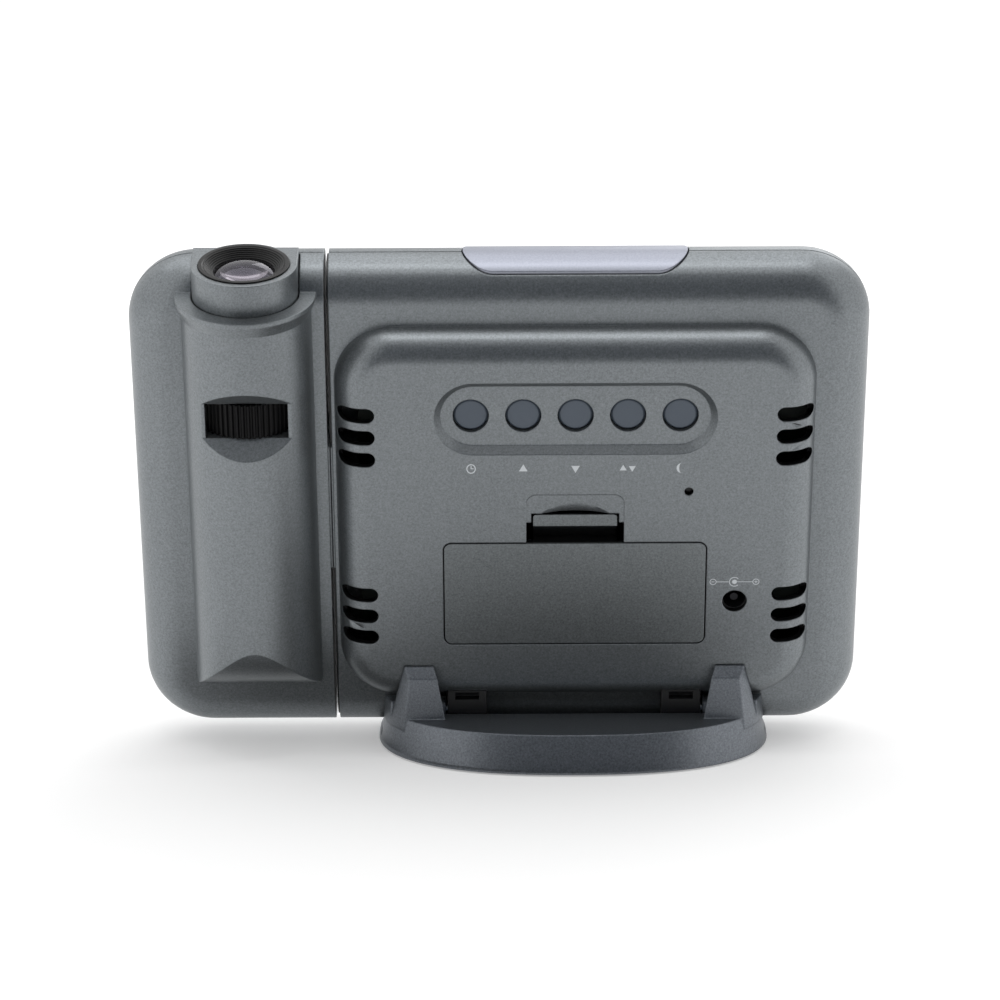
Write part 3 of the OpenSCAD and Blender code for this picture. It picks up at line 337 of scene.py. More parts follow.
def darken_bare_and_shaded(material, mask_group, metal):
    tree = material.node_tree
    surface = tree.nodes["Principled BSDF"]
    paint = surface.inputs["Base Color"].links[0].from_socket
    mask = add(tree, "ShaderNodeGroup", node_tree=mask_group).outputs["Bare and shaded"]
    tone = fill(add(tree, "ShaderNodeMix", data_type="RGBA"), {"B": BARE_AND_SHADE_TONE})
    metallic = fill(add(tree, "ShaderNodeMapRange"), {"To Min": metal, "To Max": 0.0})
    tree.links.new(mask, tone.inputs["Factor"])
    tree.links.new(paint, tone.inputs["A"])
    tree.links.new(tone.outputs["Result"], surface.inputs["Base Color"])
    tree.links.new(mask, metallic.inputs["Value"])
    tree.links.new(metallic.outputs["Result"], surface.inputs["Metallic"])

# %% [markdown]
# The covers and the collar share one paint. The stand's paint is set a little darker and bluer. The
# battery door's paint is a touch darker: painted shade for the low middle of the rear, where the door
# sits above the stand. The snooze bar is a bright silver. Flakes make paint partly metallic: a
# Metallic value between plastic and metal keeps the colour but lets the light glance.

# %% Painted finishes
FLAKE_METAL = 0.8
COVER_FLAKES = {"Dark": srgb(89, 93, 96), "Light": srgb(153, 158, 161)}
STAND_FLAKES = {"Dark": srgb(74, 78, 84), "Light": srgb(144, 149, 155), "Edge radius": 0.0007}
# Darker door flakes: painted shade over the door, low on the rear.
DOOR_FLAKES = {"Dark": srgb(80, 84, 86), "Light": srgb(144, 149, 151), "Edge radius": 0.0003}
SNOOZE_FLAKES = {"Dark": srgb(136, 139, 149), "Light": srgb(162, 165, 176), "Edge radius": 0.0003}
cover_paint = finish_from("grey_metallic_paint", speckle, COVER_FLAKES, {"Metallic": FLAKE_METAL})
rear_paint = finish_from("rear_housing_paint", speckle, COVER_FLAKES, {})
darken_bare_and_shaded(rear_paint, rear_bare_and_shaded, FLAKE_METAL)
stand_paint = finish_from("stand_metallic_paint", speckle, STAND_FLAKES, {"Metallic": FLAKE_METAL})
door_paint = finish_from("door_metallic_paint", speckle, DOOR_FLAKES, {})
darken_bare_and_shaded(door_paint, door_bare_and_shaded, FLAKE_METAL)
snooze_paint = finish_from("snooze_silver", speckle, SNOOZE_FLAKES, {"Metallic": 0.85})

# %% Plastic and rubber finishes
button_plastic = finish_from(
    "button_plastic", moulded,
    {"Tone": srgb(78, 87, 98), "Low gloss": 0.48, "High gloss": 0.36, "Edge radius": 0.0003}, {})
black_plastic = finish_from(
    "black_plastic", moulded,
    {"Tone": srgb(26, 27, 29), "Low gloss": 0.5, "High gloss": 0.34}, {})
wheel_plastic = finish_from(
    "wheel_plastic", moulded,
    {"Tone": srgb(9, 9, 10), "Low gloss": 0.55, "High gloss": 0.42, "Edge radius": 0.00012},
    {"Specular IOR Level": 0.18})
barrel_plastic = finish_from(
    "barrel_gloss_black", moulded,
    {"Tone": srgb(10, 10, 11), "Low gloss": 0.4, "High gloss": 0.28, "Edge radius": 0.0003},
    {"Specular IOR Level": 0.25})
pad_rubber = finish_from(
    "pad_rubber", moulded,
    {"Tone": srgb(38, 38, 40), "Low gloss": 0.85, "High gloss": 0.7, "Grain scale": 1800.0,
     "Bump": 0.3},
    {"Specular IOR Level": 0.3})
silver_plastic = finish_from(
    "silver_trim", moulded,
    {"Tone": srgb(176, 179, 184), "Low gloss": 0.34, "High gloss": 0.24},
    {"Metallic": 0.8})

# %% [markdown]
# Inside and under the covers are the working parts: steel pins and screws, brass standoffs, nickel
# contacts, circuit boards and the sleeves of the two cells. They show when the door is open, so they
# get real finishes as well. The boards' green is set nearly black and the socket's pin dark, which is
# painted shade, for both sit in the dark inside the housing. Metal is Metallic 1 with its own colour
# and a fine grain.

# %% Metal and board finishes
METAL = {"Metallic": 1.0}
steel = finish_from(
    "steel", moulded,
    {"Tone": srgb(176, 178, 182), "Low gloss": 0.36, "High gloss": 0.24, "Edge radius": 0.0001},
    METAL)
# The socket's pin is set dark: painted shade deep inside the socket.
pin_painted_dark = finish_from(
    "socket_pin_painted_shade", moulded,
    {"Tone": srgb(52, 52, 54), "Low gloss": 0.5, "High gloss": 0.4, "Edge radius": 0.0001}, METAL)
brass = finish_from(
    "brass", moulded,
    {"Tone": srgb(206, 170, 98), "Low gloss": 0.36, "High gloss": 0.26, "Edge radius": 0.0001},
    METAL)
nickel = finish_from(
    "nickel_contact", moulded,
    {"Tone": srgb(200, 198, 190), "Low gloss": 0.3, "High gloss": 0.2, "Edge radius": 0.00008},
    METAL)
# A nearly black green: painted shade for the boards seen inside the housing.
board_painted_dark = finish_from(
    "circuit_board", moulded,
    {"Tone": srgb(12, 30, 22), "Low gloss": 0.5, "High gloss": 0.36, "Drift": 0.3,
     "Grain scale": 900.0},
    {"Coat Weight": 0.3})
cell_sleeve = finish_from(
    "cell_sleeve", moulded,
    {"Tone": srgb(58, 60, 66), "Low gloss": 0.3, "High gloss": 0.2},
    {"Metallic": 0.3, "Coat Weight": 0.4})

# %% [markdown]
# Clear parts: the display window is lightly smoked, the lenses are coated glass, and the light
# guide behind the LCD is a milky plate. Glass is Transmission 1. The grain group still gives a
# faint unevenness, and a violet tint of the mirrored light stands for the lens's thin coating. The
# lens glass is also tinted grey, which paints the shade of the unlit barrel behind it into the glass.

# %% Clear finishes
# The grey tint of this glass is painted shade of the dark barrel seen through it.
lens_glass = finish_from(
    "coated_lens_glass_with_painted_shade", moulded,
    {"Low gloss": 0.02, "High gloss": 0.01, "Edge radius": 0.00005, "Bump": 0.0},
    {"Base Color": srgb(130, 125, 132), "Transmission Weight": 1.0, "IOR": 1.5,
     "Specular Tint": (0.82, 0.78, 1.0, 1.0)})
clear_window = finish_from(
    "smoked_window", moulded,
    {"Low gloss": 0.05, "High gloss": 0.03, "Bump": 0.02},
    {"Base Color": srgb(214, 218, 220), "Transmission Weight": 1.0, "IOR": 1.49})
lcd_face = finish_from(
    "lcd_reflector", moulded,
    {"Tone": srgb(158, 166, 152), "Low gloss": 0.5, "High gloss": 0.4, "Drift": 0.05,
     "Grain scale": 5000.0},
    {"Metallic": 0.15})
segment_ink = finish_from(
    "lcd_segment", moulded,
    {"Tone": srgb(28, 32, 34), "Low gloss": 0.42, "High gloss": 0.34, "Drift": 0.05}, {})
light_guide = finish_from(
    "light_guide", moulded,
    {"Tone": srgb(226, 230, 232), "Low gloss": 0.3, "High gloss": 0.2, "Drift": 0.03},
    {"Transmission Weight": 0.3})
lamp_resin = finish_from(
    "lamp_resin", moulded,
    {"Tone": srgb(236, 190, 176), "Low gloss": 0.12, "High gloss": 0.08},
    {"Transmission Weight": 0.7, "IOR": 1.5})
symbol_ink = finish_from(
    "white_print", moulded,
    {"Tone": srgb(206, 210, 214), "Low gloss": 0.5, "High gloss": 0.4, "Drift": 0.1,
     "Edge radius": 0.00002}, {})

# %% [markdown]
# The model's nodes arrive as loose triangles. Their shape is right, so they keep their meshes, and
# modifiers give them clean shading: a weld joins the triangles, an edge split keeps the hard edges
# and weighted normals keep the big flats flat where they run into rounded edges. The rear cover's
# flats are made whole before that, because so many openings cut them into slivers. The wing's cover
# keeps even its shallow edges, such as the one under the tube's lip.

# %% Shade and finish the model's nodes
WELD_REACH = 1e-6
WHOLE_FLAT = math.radians(0.3)
HARD_EDGE = math.radians(30)
SHALLOW_EDGE = math.radians(14)
FLATS_FIRST = 50
NODE_FINISH = {
    stand_paint: ["stand_base"],
    rear_paint: ["rear_cover"],
    cover_paint: ["front_bezel", "wing_rear_cover", "wing_front_cover", "lens_collar"],
    door_paint: ["battery_door"],
    snooze_paint: ["snooze_bar"],
    button_plastic: ["button_%d" % number for number in range(1, 6)],
    black_plastic: ["power_socket", "reset_pin", "key_switches", "buzzer", "temperature_sensor",
                    "seam_plate", "wing_axle", "projector_lead", "optics_frame"],
    wheel_plastic: ["focus_wheel"],
    barrel_plastic: ["lens_barrel"],
    pad_rubber: ["stand_pads"],
    steel: ["hinge_pins", "board_screws", "case_screws", "wing_screws", "axle_ring"],
    pin_painted_dark: ["socket_pin"],
    brass: ["standoffs"],
    nickel: ["battery_springs", "battery_plates"],
    board_painted_dark: ["main_board", "key_board"],
    cell_sleeve: ["battery_cells"],
    lens_glass: ["projection_lens", "condenser_lens"],
    clear_window: ["display_window"],
    lcd_face: ["lcd_panel", "image_lcd"],
    light_guide: ["backlight", "led_board"],
    lamp_resin: ["led_lamp"],
}
for finish, names in NODE_FINISH.items():
    for name in names:
        mesh = nodes[name].data
        if mesh.attributes.get("custom_normal"):
            mesh.attributes.remove(mesh.attributes["custom_normal"])
        mesh.shade_smooth()
        mesh.materials.clear()
        mesh.materials.append(finish)
        modifiers = nodes[name].modifiers
        modifiers.new("weld", "WELD").merge_threshold = WELD_REACH
        if name == "rear_cover":
            flats = modifiers.new("whole flats", "DECIMATE")
            flats.decimate_type = "DISSOLVE"
            flats.angle_limit = WHOLE_FLAT
        hard = modifiers.new("hard edges", "EDGE_SPLIT")
        hard.split_angle = SHALLOW_EDGE if name == "wing_rear_cover" else HARD_EDGE
        modifiers.new("even shading", "WEIGHTED_NORMAL").weight = FLATS_FIRST
print("nodes with a finish:", sum(len(names) for names in NODE_FINISH.values()), "of", len(nodes))

# %% [markdown]
# Under each button a small white symbol is printed, and above the socket a symbol shows which
# contact is plus. Print is a film far thinner than a hair. Here each symbol is a flat outline
# pushed out by three hundredths of a millimetre, enough to lie on the paint without flicker.

# %% Flat outlines for print
INK = 0.03
FULL_TURN = 2 * math.pi


def flat_outline(bm, points):
    return bm.faces.new([bm.verts.new((x, y, 0)) for x, y in points])


def bar(bm, x, y, width, height):
    square = bmesh.ops.create_grid(bm, x_segments=1, y_segments=1, size=0.5)
    bmesh.ops.scale(bm, verts=square["verts"], vec=(width, height, 1))
    bmesh.ops.translate(bm, verts=square["verts"], vec=(x, y, 0))


def ring(bm, x, y, outer, inner, angle=FULL_TURN, start=0.0):
    ends = [bm.verts.new((x + r * math.cos(start), y + r * math.sin(start), 0)) for r in (inner, outer)]
    line = bm.edges.new(ends)
    bmesh.ops.spin(bm, geom=[line] + ends, cent=(x, y, 0), axis=(0, 0, 1), angle=angle, steps=32,
                   use_merge=angle == FULL_TURN)


def disc(bm, x, y, radius):
    bmesh.ops.create_circle(bm, cap_ends=True, segments=24, radius=radius,
                            matrix=Matrix.Translation((x, y, 0)))


def triangle(bm, x, y, size, up):
    flat_outline(bm, [(x - size, y - up * size * 0.6), (x + size, y - up * size * 0.6),
                      (x, y + up * size)])


def crescent(bm, x, y, radius):
    made = bmesh.ops.create_circle(bm, cap_ends=True, segments=32, radius=radius)
    for vert in made["verts"]:
        if vert.co.x > 0:
            vert.co.x *= -0.45
    bmesh.ops.translate(bm, verts=made["verts"], vec=(x + radius * 0.3, y, 0))


def raise_print(bm, thickness=INK):
    grown = bmesh.ops.extrude_face_region(bm, geom=list(bm.faces))
    top = [item for item in grown["geom"] if isinstance(item, bmesh.types.BMVert)]
    bmesh.ops.translate(bm, verts=top, vec=(0, 0, thickness))

# %% Symbols under the buttons
PITCH = 12.7
SYMBOL_V = 14.85
symbols = bmesh.new()
ring(symbols, -2 * PITCH, 0, 1.15, 0.9)
bar(symbols, -2 * PITCH, 0.35, 0.22, 0.75)
bar(symbols, -2 * PITCH + 0.28, 0.05, 0.6, 0.2)
triangle(symbols, -PITCH, 0, 1.05, 1)
triangle(symbols, 0, 0, 1.05, -1)
triangle(symbols, PITCH - 1.1, 0, 0.85, 1)
triangle(symbols, PITCH + 1.1, 0, 0.85, -1)
crescent(symbols, 2 * PITCH, 0, 1.15)
raise_print(symbols)
bmesh.ops.scale(symbols, verts=symbols.verts, vec=(1, 1.15, 1))
bmesh.ops.translate(symbols, verts=symbols.verts, vec=(HUMP_X, SYMBOL_V, REAR_W))
finish_piece("button_symbols", symbols, BACK_VIEW, symbol_ink, "housing", False)

# %% Polarity symbol above the socket
POLARITY_X = 57.9
POLARITY_V = -17.1
polarity = bmesh.new()
ring(polarity, -5.3, 0, 0.85, 0.68)
bar(polarity, -5.3, 0, 0.75, 0.16)
bar(polarity, -2.95, 0, 3.0, 0.16)
ring(polarity, 0, 0, 1.35, 1.15, angle=math.radians(270), start=math.radians(45))
disc(polarity, 0, 0, 0.6)
bar(polarity, 2.55, 0, 3.8, 0.16)
ring(polarity, 5.3, 0, 0.85, 0.68)
bar(polarity, 5.3, 0, 0.75, 0.16)
bar(polarity, 5.3, 0, 0.16, 0.75)
raise_print(polarity)
bmesh.ops.translate(polarity, verts=polarity.verts, vec=(POLARITY_X, POLARITY_V, REAR_W))
finish_piece("polarity_symbol", polarity, BACK_VIEW, symbol_ink, "housing", False)

# %% [markdown]
# The display's digits are seven bars each, with pointed ends and a slight slant, as on any liquid
# crystal panel. One function draws a digit from its lit bars, and the rows of time, date and
# temperature are made from it. They lie just in front of the panel, behind the window.

# %% Seven bars make a digit
SEGMENTS = {"0": "abcdef", "1": "bc", "2": "abged", "3": "abgcd", "4": "fgbc", "5": "afgcd",
            "6": "afgedc", "7": "abc", "8": "abcdefg", "9": "abcdfg", "-": "g"}
LCD_FRONT = 8.2
SLANT = 0.09


def segment(bm, x, y, length, thick, upright):
    half = length / 2
    tip = thick / 2
    points = [(-half, 0), (-half + tip, tip), (half - tip, tip), (half, 0), (half - tip, -tip),
              (-half + tip, -tip)]
    if upright:
        points = [(-b, a) for a, b in points]
    flat_outline(bm, [(x + a + SLANT * (y + b), y + b) for a, b in points])


def digit(bm, mark, x, y, height):
    width = height * 0.5
    thick = height * 0.115
    long = height / 2 - thick * 0.25
    across = width - thick * 0.25
    spots = {"a": (0, height / 2, across, False), "g": (0, 0, across, False),
             "d": (0, -height / 2, across, False), "f": (-width / 2, height / 4, long, True),
             "b": (width / 2, height / 4, long, True), "e": (-width / 2, -height / 4, long, True),
             "c": (width / 2, -height / 4, long, True)}
    for key in SEGMENTS[mark]:
        dx, dy, length, upright = spots[key]
        segment(bm, x + dx, y + dy, length, thick, upright)


def digits(bm, text, x, y, height):
    step = height * 0.74
    for place, mark in enumerate(text):
        if mark in SEGMENTS:
            digit(bm, mark, x + place * step, y, height)

# %% Time, date and temperature
TIME_V = 17
TIME_HEIGHT = 25
SECONDS_HEIGHT = 9
DATE_V = -15
DATE_HEIGHT = 11
ALARM_V = -33
ALARM_HEIGHT = 10
BARS_FOOT_V = -38
SEGMENT_INK = 0.1


def colon(bm, x, y, apart, size):
    for dot in (y - apart, y + apart):
        bar(bm, x + SLANT * dot, dot, size, size)


display = bmesh.new()
digits(display, "10", -41, TIME_V, TIME_HEIGHT)
colon(display, -9.5, TIME_V, 5.5, 2.6)
digits(display, "08", 3.5, TIME_V, TIME_HEIGHT)
digits(display, "28", 35.3, TIME_V - (TIME_HEIGHT - SECONDS_HEIGHT) / 2, SECONDS_HEIGHT)
digits(display, "12-25", -40, DATE_V, DATE_HEIGHT)
digits(display, "7", 4.5, DATE_V, DATE_HEIGHT)
digits(display, "21", 20, DATE_V, DATE_HEIGHT)
bar(display, 34.6, DATE_V - 5.2, 1.3, 1.3)
digits(display, "4", 39, DATE_V, DATE_HEIGHT)
ring(display, 45.8, DATE_V + 4.7, 1.5, 0.9)
digits(display, "6", -36.5, ALARM_V, ALARM_HEIGHT)
colon(display, -31.3, ALARM_V, 2, 1.1)
digits(display, "30", -25, ALARM_V, ALARM_HEIGHT)
crescent(display, -8, ALARM_V, 3)
for place in range(6):
    height = 4 + place * 1.4
    bar(display, 6 + place * 5.2, BARS_FOOT_V + height / 2, 3.2, height)
raise_print(display, SEGMENT_INK)
bmesh.ops.translate(display, verts=display.verts, vec=(-DISPLAY_X, 0, LCD_FRONT))
finish_piece("display_segments", display, FRONT_VIEW, segment_ink, "housing", False)

# %% Fine rules that part the rows of the display
RULE_WIDTH = 0.35
RULE_INK = 0.06
ROW_RULES = (-3.5, -24)
SIDE_RULES = (-48, 48)
DATE_RULE_X = 12.5
rules = bmesh.new()
for v in ROW_RULES:
    bar(rules, 0, v, 92, RULE_WIDTH)
for x in SIDE_RULES:
    bar(rules, x, -4, RULE_WIDTH, 82)
bar(rules, DATE_RULE_X, sum(ROW_RULES) / 2, RULE_WIDTH, ROW_RULES[0] - ROW_RULES[1])
raise_print(rules, RULE_INK)
bmesh.ops.translate(rules, verts=rules.verts, vec=(-DISPLAY_X, 0, LCD_FRONT))
finish_piece("display_rules", rules, FRONT_VIEW, segment_ink, "housing", False)

# %% [markdown]
# The two backup cells have a steel can in a printed sleeve, a raised plus cap and a crimped end.
# A cell is round, so its outline is drawn once and spun round its axis. The contact springs are
# real coils: a ring of wire is spun with a little travel at each step, which sweeps out a helix.

# %% Two backup cells
CELL_R = 5.25
CELL_L = 44.5
CELL_SIDE = 5.55
CELL_LIFT = 0.1
ROOM_HALF_L = 30
ROOM_MARGIN = 1
DOOR_INNER_W = 15.7
DOOR_V = -20.3
CELL_X = HUMP_X - ROOM_HALF_L + ROOM_MARGIN
CELL_W = DOOR_INNER_W - CELL_R - ROOM_MARGIN + CELL_LIFT
cell_outline = [(0, 0.0), (0, 1.75), (0.9, 1.9), (0.95, 4.3), (1.2, 4.6), (1.5, 5.1), (2.0, CELL_R),
                (CELL_L - 1.2, CELL_R), (CELL_L - 0.5, 5.0), (CELL_L - 0.3, 4.4), (CELL_L - 0.5, 4.1),
                (CELL_L, 3.8), (CELL_L, 0.0)]


def spin_outline(bm, points, centre, axis, steps):
    line = [bm.verts.new(point) for point in points]
    edges = [bm.edges.new(pair) for pair in zip(line, line[1:])]
    bmesh.ops.spin(bm, geom=line + edges, cent=centre, axis=axis, angle=FULL_TURN, steps=steps,
                   use_merge=True)


cells = bmesh.new()
for side in (-1, 1):
    middle = DOOR_V + side * CELL_SIDE
    spin_outline(cells, [(CELL_X + x, middle + r, CELL_W) for x, r in cell_outline],
                 (CELL_X, middle, CELL_W), (1, 0, 0), 48)
backup_cells = finish_piece("backup_cells", cells, BACK_VIEW, cell_sleeve, "housing")
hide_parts("battery_cells")

# %% Coil springs behind the cells
COIL_TURNS = 4.5
COIL_STEPS = 20
COIL_R = 2.4
COIL_L = 4.0
COIL_GAP = 0.45
WIRE_R = 0.3
springs = bmesh.new()
for side in (-1, 1):
    middle = DOOR_V + side * CELL_SIDE
    wire = bmesh.ops.create_circle(
        springs, cap_ends=True, segments=8, radius=WIRE_R,
        matrix=Matrix.Translation((CELL_X + CELL_L + COIL_GAP, middle + COIL_R, CELL_W)))
    wire_faces = list({face for vert in wire["verts"] for face in vert.link_faces})
    wire_edges = list({edge for vert in wire["verts"] for edge in vert.link_edges})
    bmesh.ops.spin(
        springs, geom=wire["verts"] + wire_edges + wire_faces, cent=(CELL_X, middle, CELL_W),
        axis=(1, 0, 0), dvec=(COIL_L / (COIL_TURNS * COIL_STEPS), 0, 0),
        angle=COIL_TURNS * FULL_TURN, steps=int(COIL_TURNS * COIL_STEPS))
coil_springs = finish_piece("coil_springs", springs, BACK_VIEW, nickel, "housing")
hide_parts("battery_springs")

# %% [markdown]
# The lens looks out of a stepped black mouth. Fine turned ridges there stop stray light. They are
# one outline spun round the tube's axis, and they ride on the barrel, because focusing moves them
# with the glass.

# %% Turned ridges in the lens mouth
SEAT_V = 64.8
RIDGES = 6
MOUTH_LOW_R = 7.35
MOUTH_SPREAD = 2.4
MOUTH_RISE = 2.05
mouth = bmesh.new()
ridge_outline = []
for step in range(RIDGES):
    share = step / RIDGES
    radius = MOUTH_LOW_R + share * MOUTH_SPREAD
    rise = SEAT_V + 0.06 + share * MOUTH_RISE
    ridge_outline += [(radius, rise), (radius + 0.04, rise + 0.2), (radius + 0.36, rise + 0.24)]


def spin_round_tube(bm, outline, steps):
    spin_outline(bm, [(TUBE_X + r, v, LENS_W) for r, v in outline], (TUBE_X, 0, LENS_W), (0, 1, 0),
                 steps)


spin_round_tube(mouth, ridge_outline, 72)
finish_piece("lens_mouth_ridges", mouth, BACK_VIEW, barrel_plastic, "barrel")

# %% [markdown]
# The glass bulges on both sides, which two short arcs in its outline show better than a thin flat
# disc. Its rim is blackened, as the rim of a real lens is, so no light leaks there.

# %% Bulging lens with a blackened rim
CAP_R = 7.34
CAP_RISE = 2.05
CAP_STEPS = 15
RIM_R = 8.1
RIM_HIGH_V = SEAT_V - 0.08
RIM_LOW_V = SEAT_V - 2.9
LOW_CAP_V = SEAT_V - 2.95
bend = (CAP_R ** 2 + CAP_RISE ** 2) / (2 * CAP_RISE)
cap_radii = [CAP_R * step / CAP_STEPS for step in range(CAP_STEPS + 1)]
cap = [(r, CAP_RISE + math.sqrt(bend ** 2 - r ** 2) - bend) for r in cap_radii]
glass_outline = [(r, LOW_CAP_V - rise) for r, rise in cap]
glass_outline += [(RIM_R, RIM_LOW_V), (RIM_R, RIM_HIGH_V), (CAP_R, RIM_HIGH_V)]
glass_outline += [(r, SEAT_V + rise) for r, rise in reversed(cap)]
glass = bmesh.new()
spin_round_tube(glass, glass_outline, 96)
for face in glass.faces:
    reach = min(math.hypot(v.co.x - TUBE_X, v.co.z - LENS_W) for v in face.verts)
    face.material_index = 1 if reach > RIM_R - 0.01 else 0
glass_piece = finish_piece("bulging_lens", glass, BACK_VIEW, lens_glass, "barrel")
glass_piece.data.materials.append(barrel_plastic)
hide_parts("projection_lens")

# %% [markdown]
# Round the display window runs a slim silver frame, a common trim on such clocks. It starts as a
# rounded ring between two outlines, gets a thickness by extrusion and a small bevel on its outer
# edges, so that it catches light from the sides.

# %% Slim frame round the display window
FRAME_W = 107.6
FRAME_H = 92.6
FRAME_R = 5.3
FRAME_RIM = 1.4
FRAME_SEAT = 10.0
FRAME_RISE = 0.45
FRAME_BEVEL = 0.2
CORNER_STEPS = 8
trim = bmesh.new()


def rounded_loop(bm, width, height, radius):
    loop = []
    for corner in range(4):
        cx = (width / 2 - radius) * (1 if corner in (0, 3) else -1)
        cy = (height / 2 - radius) * (1 if corner in (0, 1) else -1)
        for step in range(CORNER_STEPS + 1):
            angle = (corner + step / CORNER_STEPS) * math.pi / 2
            place = (cx + radius * math.cos(angle), cy + radius * math.sin(angle), FRAME_SEAT)
            loop.append(bm.verts.new(place))
    return [bm.edges.new((loop[i], loop[(i + 1) % len(loop)])) for i in range(len(loop))]


inner = rounded_loop(trim, FRAME_W, FRAME_H, FRAME_R)
outer = rounded_loop(trim, FRAME_W + 2 * FRAME_RIM, FRAME_H + 2 * FRAME_RIM, FRAME_R + FRAME_RIM)
made = bmesh.ops.bridge_loops(trim, edges=inner + outer)
grown = bmesh.ops.extrude_face_region(trim, geom=made["faces"])
top = [item for item in grown["geom"] if isinstance(item, bmesh.types.BMVert)]
bmesh.ops.translate(trim, verts=top, vec=(0, 0, FRAME_RISE))
rims = [edge for edge in trim.edges
        if all(vert.co.z > FRAME_SEAT + FRAME_RISE / 2 for vert in edge.verts)
        and len(edge.link_faces) == 2 and edge.calc_face_angle(0) > 1]
bmesh.ops.bevel(trim, geom=rims, offset=FRAME_BEVEL, offset_type="OFFSET", segments=3, profile=0.5,
                affect="EDGES", material=-1)
bmesh.ops.translate(trim, verts=trim.verts, vec=(-DISPLAY_X, 0, 0))
finish_piece("window_frame", trim, FRONT_VIEW, silver_plastic, "housing")

# %% [markdown]
# The clock stands on a plain pale floor in soft light. A wide lamp above it and a narrow strip
# beside that light the top edges, a third lamp lights the display side, and the sky fills the rest.
# Camera rays, mirror rays and rays through glass see the floor and sky near white, so that the
# ground is clean. The floor is a little less bright close to the clock, where its shadow lies.

# %% Which rays see the white ground
def seen_directly(tree):
    path = add(tree, "ShaderNodeLightPath")
    seen = maths(tree, "MAXIMUM", path.outputs["Is Camera Ray"], path.outputs["Is Glossy Ray"])
    return maths(tree, "MAXIMUM", seen, path.outputs["Is Transmission Ray"])

# %% Floor
FLOOR_HALF = 6
FLOOR_TONE = (0.78, 0.78, 0.78, 1)
floor_bm = bmesh.new()
bmesh.ops.create_grid(floor_bm, x_segments=4, y_segments=4, size=FLOOR_HALF)
floor_mesh = bpy.data.meshes.new("floor")
floor_bm.to_mesh(floor_mesh)
floor_bm.free()
floor = bpy.data.objects.new("floor", floor_mesh)
bpy.context.collection.objects.link(floor)
floor_finish = bpy.data.materials.new("pale_floor")
floor_finish.use_nodes = True
tree = floor_finish.node_tree
tree.nodes.remove(tree.nodes["Principled BSDF"])
matte = fill(add(tree, "ShaderNodeBsdfDiffuse"), {"Color": FLOOR_TONE})
glow = add(tree, "ShaderNodeEmission")
floor_place = add(tree, "ShaderNodeTexCoord")
from_clock = add(tree, "ShaderNodeVectorMath", operation="LENGTH")
far_away = fill(add(tree, "ShaderNodeMapRange", interpolation_type="SMOOTHSTEP"),
                {"From Min": 0.12, "From Max": 0.6, "To Min": 0.27, "To Max": 0.42})
both = add(tree, "ShaderNodeAddShader")
link = tree.links.new
link(floor_place.outputs["Object"], from_clock.inputs[0])
link(from_clock.outputs["Value"], far_away.inputs["Value"])
link(maths(tree, "MULTIPLY", seen_directly(tree), far_away.outputs["Result"]), glow.inputs["Strength"])
link(matte.outputs["BSDF"], both.inputs[0])
link(glow.outputs["Emission"], both.inputs[1])
link(both.outputs["Shader"], tree.nodes["Material Output"].inputs["Surface"])
floor_mesh.materials.append(floor_finish)
print("floor:", 2 * FLOOR_HALF, "m wide")

# %% Sky
world = bpy.data.worlds.new("studio")
scene = bpy.context.scene
scene.world = world
world.use_nodes = True
tree = world.node_tree
sky = fill(tree.nodes["Background"], {"Color": (1, 1, 1, 1)})
sky_level = fill(add(tree, "ShaderNodeMapRange"), {"To Min": 0.8, "To Max": 1.0})
tree.links.new(seen_directly(tree), sky_level.inputs["Value"])
tree.links.new(sky_level.outputs["Result"], sky.inputs["Strength"])
print("sky:", world.name)

# %% Lamps
AIM = Vector((0, 0, 0.065))


def lamp(name, place, width, height, power):
    data = bpy.data.lights.new(name, "AREA")
    data.shape = "RECTANGLE"
    data.size = width
    data.size_y = height
    data.energy = power
    lamp_object = bpy.data.objects.new(name, data)
    bpy.context.collection.objects.link(lamp_object)
    lamp_object.location = place
    lamp_object.rotation_euler = (AIM - Vector(place)).to_track_quat("-Z", "Y").to_euler()
    print("lamp:", name, power)


lamp("top_softbox", (0.0, -0.2, 0.85), 1.4, 0.45, 1.95)
lamp("strip_light", (0.0, 0.2, 0.95), 0.5, 0.05, 1.0)
lamp("front_softbox", (-0.5, -1.1, 0.8), 0.9, 0.7, 3.0)

# %% [markdown]
# Satin metal paint is shaped by what it mirrors. A studio often stands a dark card in front of such
# an object, so that its edges fall off into shade as they turn up to the card. The table just
# behind the clock is in shade too, which two soft-edged dark patches give. Only mirror rays see them.

# %% Dark card and shaded patches
CARD_Y = 0.27
CARD_LOW_X = -0.3
CARD_HIGH_X = 0.17
CARD_TOP = 0.42
CARD_TONE = srgb(44, 56, 70)
SHADE_TONE = (0.02, 0.02, 0.02, 1)
MATT = 0.9
PATCHES = ((-0.018, 0.042, 0.074, 0.04), (0.04, 0.018, 0.085, 0.026))
PATCH_LIFT = 0.001
PATCH_STEP = 0.0005


def stage_sheet(name, corners, finish):
    sheet_bm = bmesh.new()
    sheet_bm.faces.new([sheet_bm.verts.new(corner) for corner in corners])
    mesh = bpy.data.meshes.new(name)
    sheet_bm.to_mesh(mesh)
    sheet_bm.free()
    mesh.materials.append(finish)
    sheet = bpy.data.objects.new(name, mesh)
    bpy.context.collection.objects.link(sheet)
    sheet.visible_camera = False
    sheet.visible_shadow = False
    sheet.visible_diffuse = False
    sheet.visible_transmission = False
    print("staged:", name)
    return sheet


def matt_finish(name, tone):
    material = bpy.data.materials.new(name)
    material.use_nodes = True
    fill(material.node_tree.nodes["Principled BSDF"], {"Base Color": tone, "Roughness": MATT})
    return material


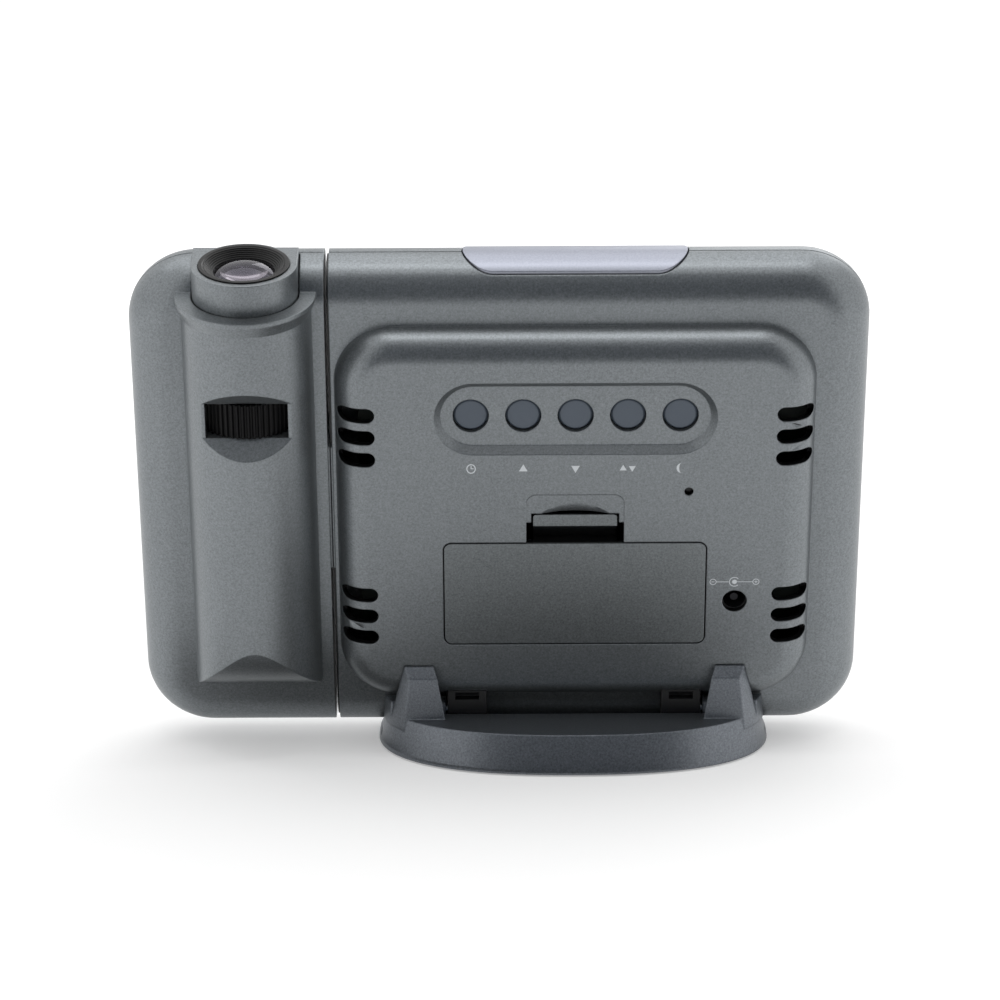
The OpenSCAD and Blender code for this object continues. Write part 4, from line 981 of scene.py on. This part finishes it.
card_corners = ((CARD_LOW_X, 0), (CARD_HIGH_X, 0), (CARD_HIGH_X, CARD_TOP), (CARD_LOW_X, CARD_TOP))
stage_sheet("standing_card", [(x, CARD_Y, z) for x, z in card_corners],
            matt_finish("dark_card", CARD_TONE))
shade_finish = matt_finish("shaded_patch", SHADE_TONE)
tree = shade_finish.node_tree
patch_place = add(tree, "ShaderNodeTexCoord")
patch_reach = add(tree, "ShaderNodeVectorMath", operation="LENGTH")
patch_fade = fill(add(tree, "ShaderNodeMapRange", interpolation_type="SMOOTHSTEP"),
                  {"From Min": 0.25, "From Max": 1.0, "To Min": 1.0, "To Max": 0.0})
clear = add(tree, "ShaderNodeBsdfTransparent")
patch_mix = add(tree, "ShaderNodeMixShader")
link = tree.links.new
link(patch_place.outputs["Object"], patch_reach.inputs[0])
link(patch_reach.outputs["Value"], patch_fade.inputs["Value"])
link(patch_fade.outputs["Result"], patch_mix.inputs["Fac"])
link(clear.outputs["BSDF"], patch_mix.inputs[1])
link(tree.nodes["Principled BSDF"].outputs["BSDF"], patch_mix.inputs[2])
link(patch_mix.outputs["Shader"], tree.nodes["Material Output"].inputs["Surface"])
for number, (x, y, wide, deep) in enumerate(PATCHES):
    patch = stage_sheet("shaded_patch_%d" % (number + 1),
                        [(-1, -1, 0), (1, -1, 0), (1, 1, 0), (-1, 1, 0)], shade_finish)
    patch.location = (x, y, PATCH_LIFT + number * PATCH_STEP)
    patch.scale = (wide, deep, 1)

# %% [markdown]
# The camera looks straight at the rear from a little above, from far enough that the clock's
# sides stay nearly parallel. Its place is set by an elevation and a distance, and the lens by how
# large the clock stands in the frame.

# %% Camera
ELEVATION = math.radians(14)
TILT = math.radians(-0.26)
CAMERA_REACH = 0.92373
LENS = 134.86
SENSOR = 36
target = Vector((0, 0.01278, 0.06695))
back = Vector((0, math.cos(ELEVATION), math.sin(ELEVATION)))
right = Vector((-1, 0, 0))
up = back.cross(right)
camera_data = bpy.data.cameras.new("camera")
camera_data.lens = LENS
camera_data.sensor_width = SENSOR
camera = bpy.data.objects.new("camera", camera_data)
bpy.context.collection.objects.link(camera)
camera.matrix_world = (
    Matrix.Translation(target + CAMERA_REACH * back)
    @ Matrix((right, up, back)).transposed().to_4x4()
    @ Matrix.Rotation(TILT, 4, "Z"))
scene.camera = camera
scene.view_settings.view_transform = "Standard"
print("camera at:", [round(v, 4) for v in camera.location])
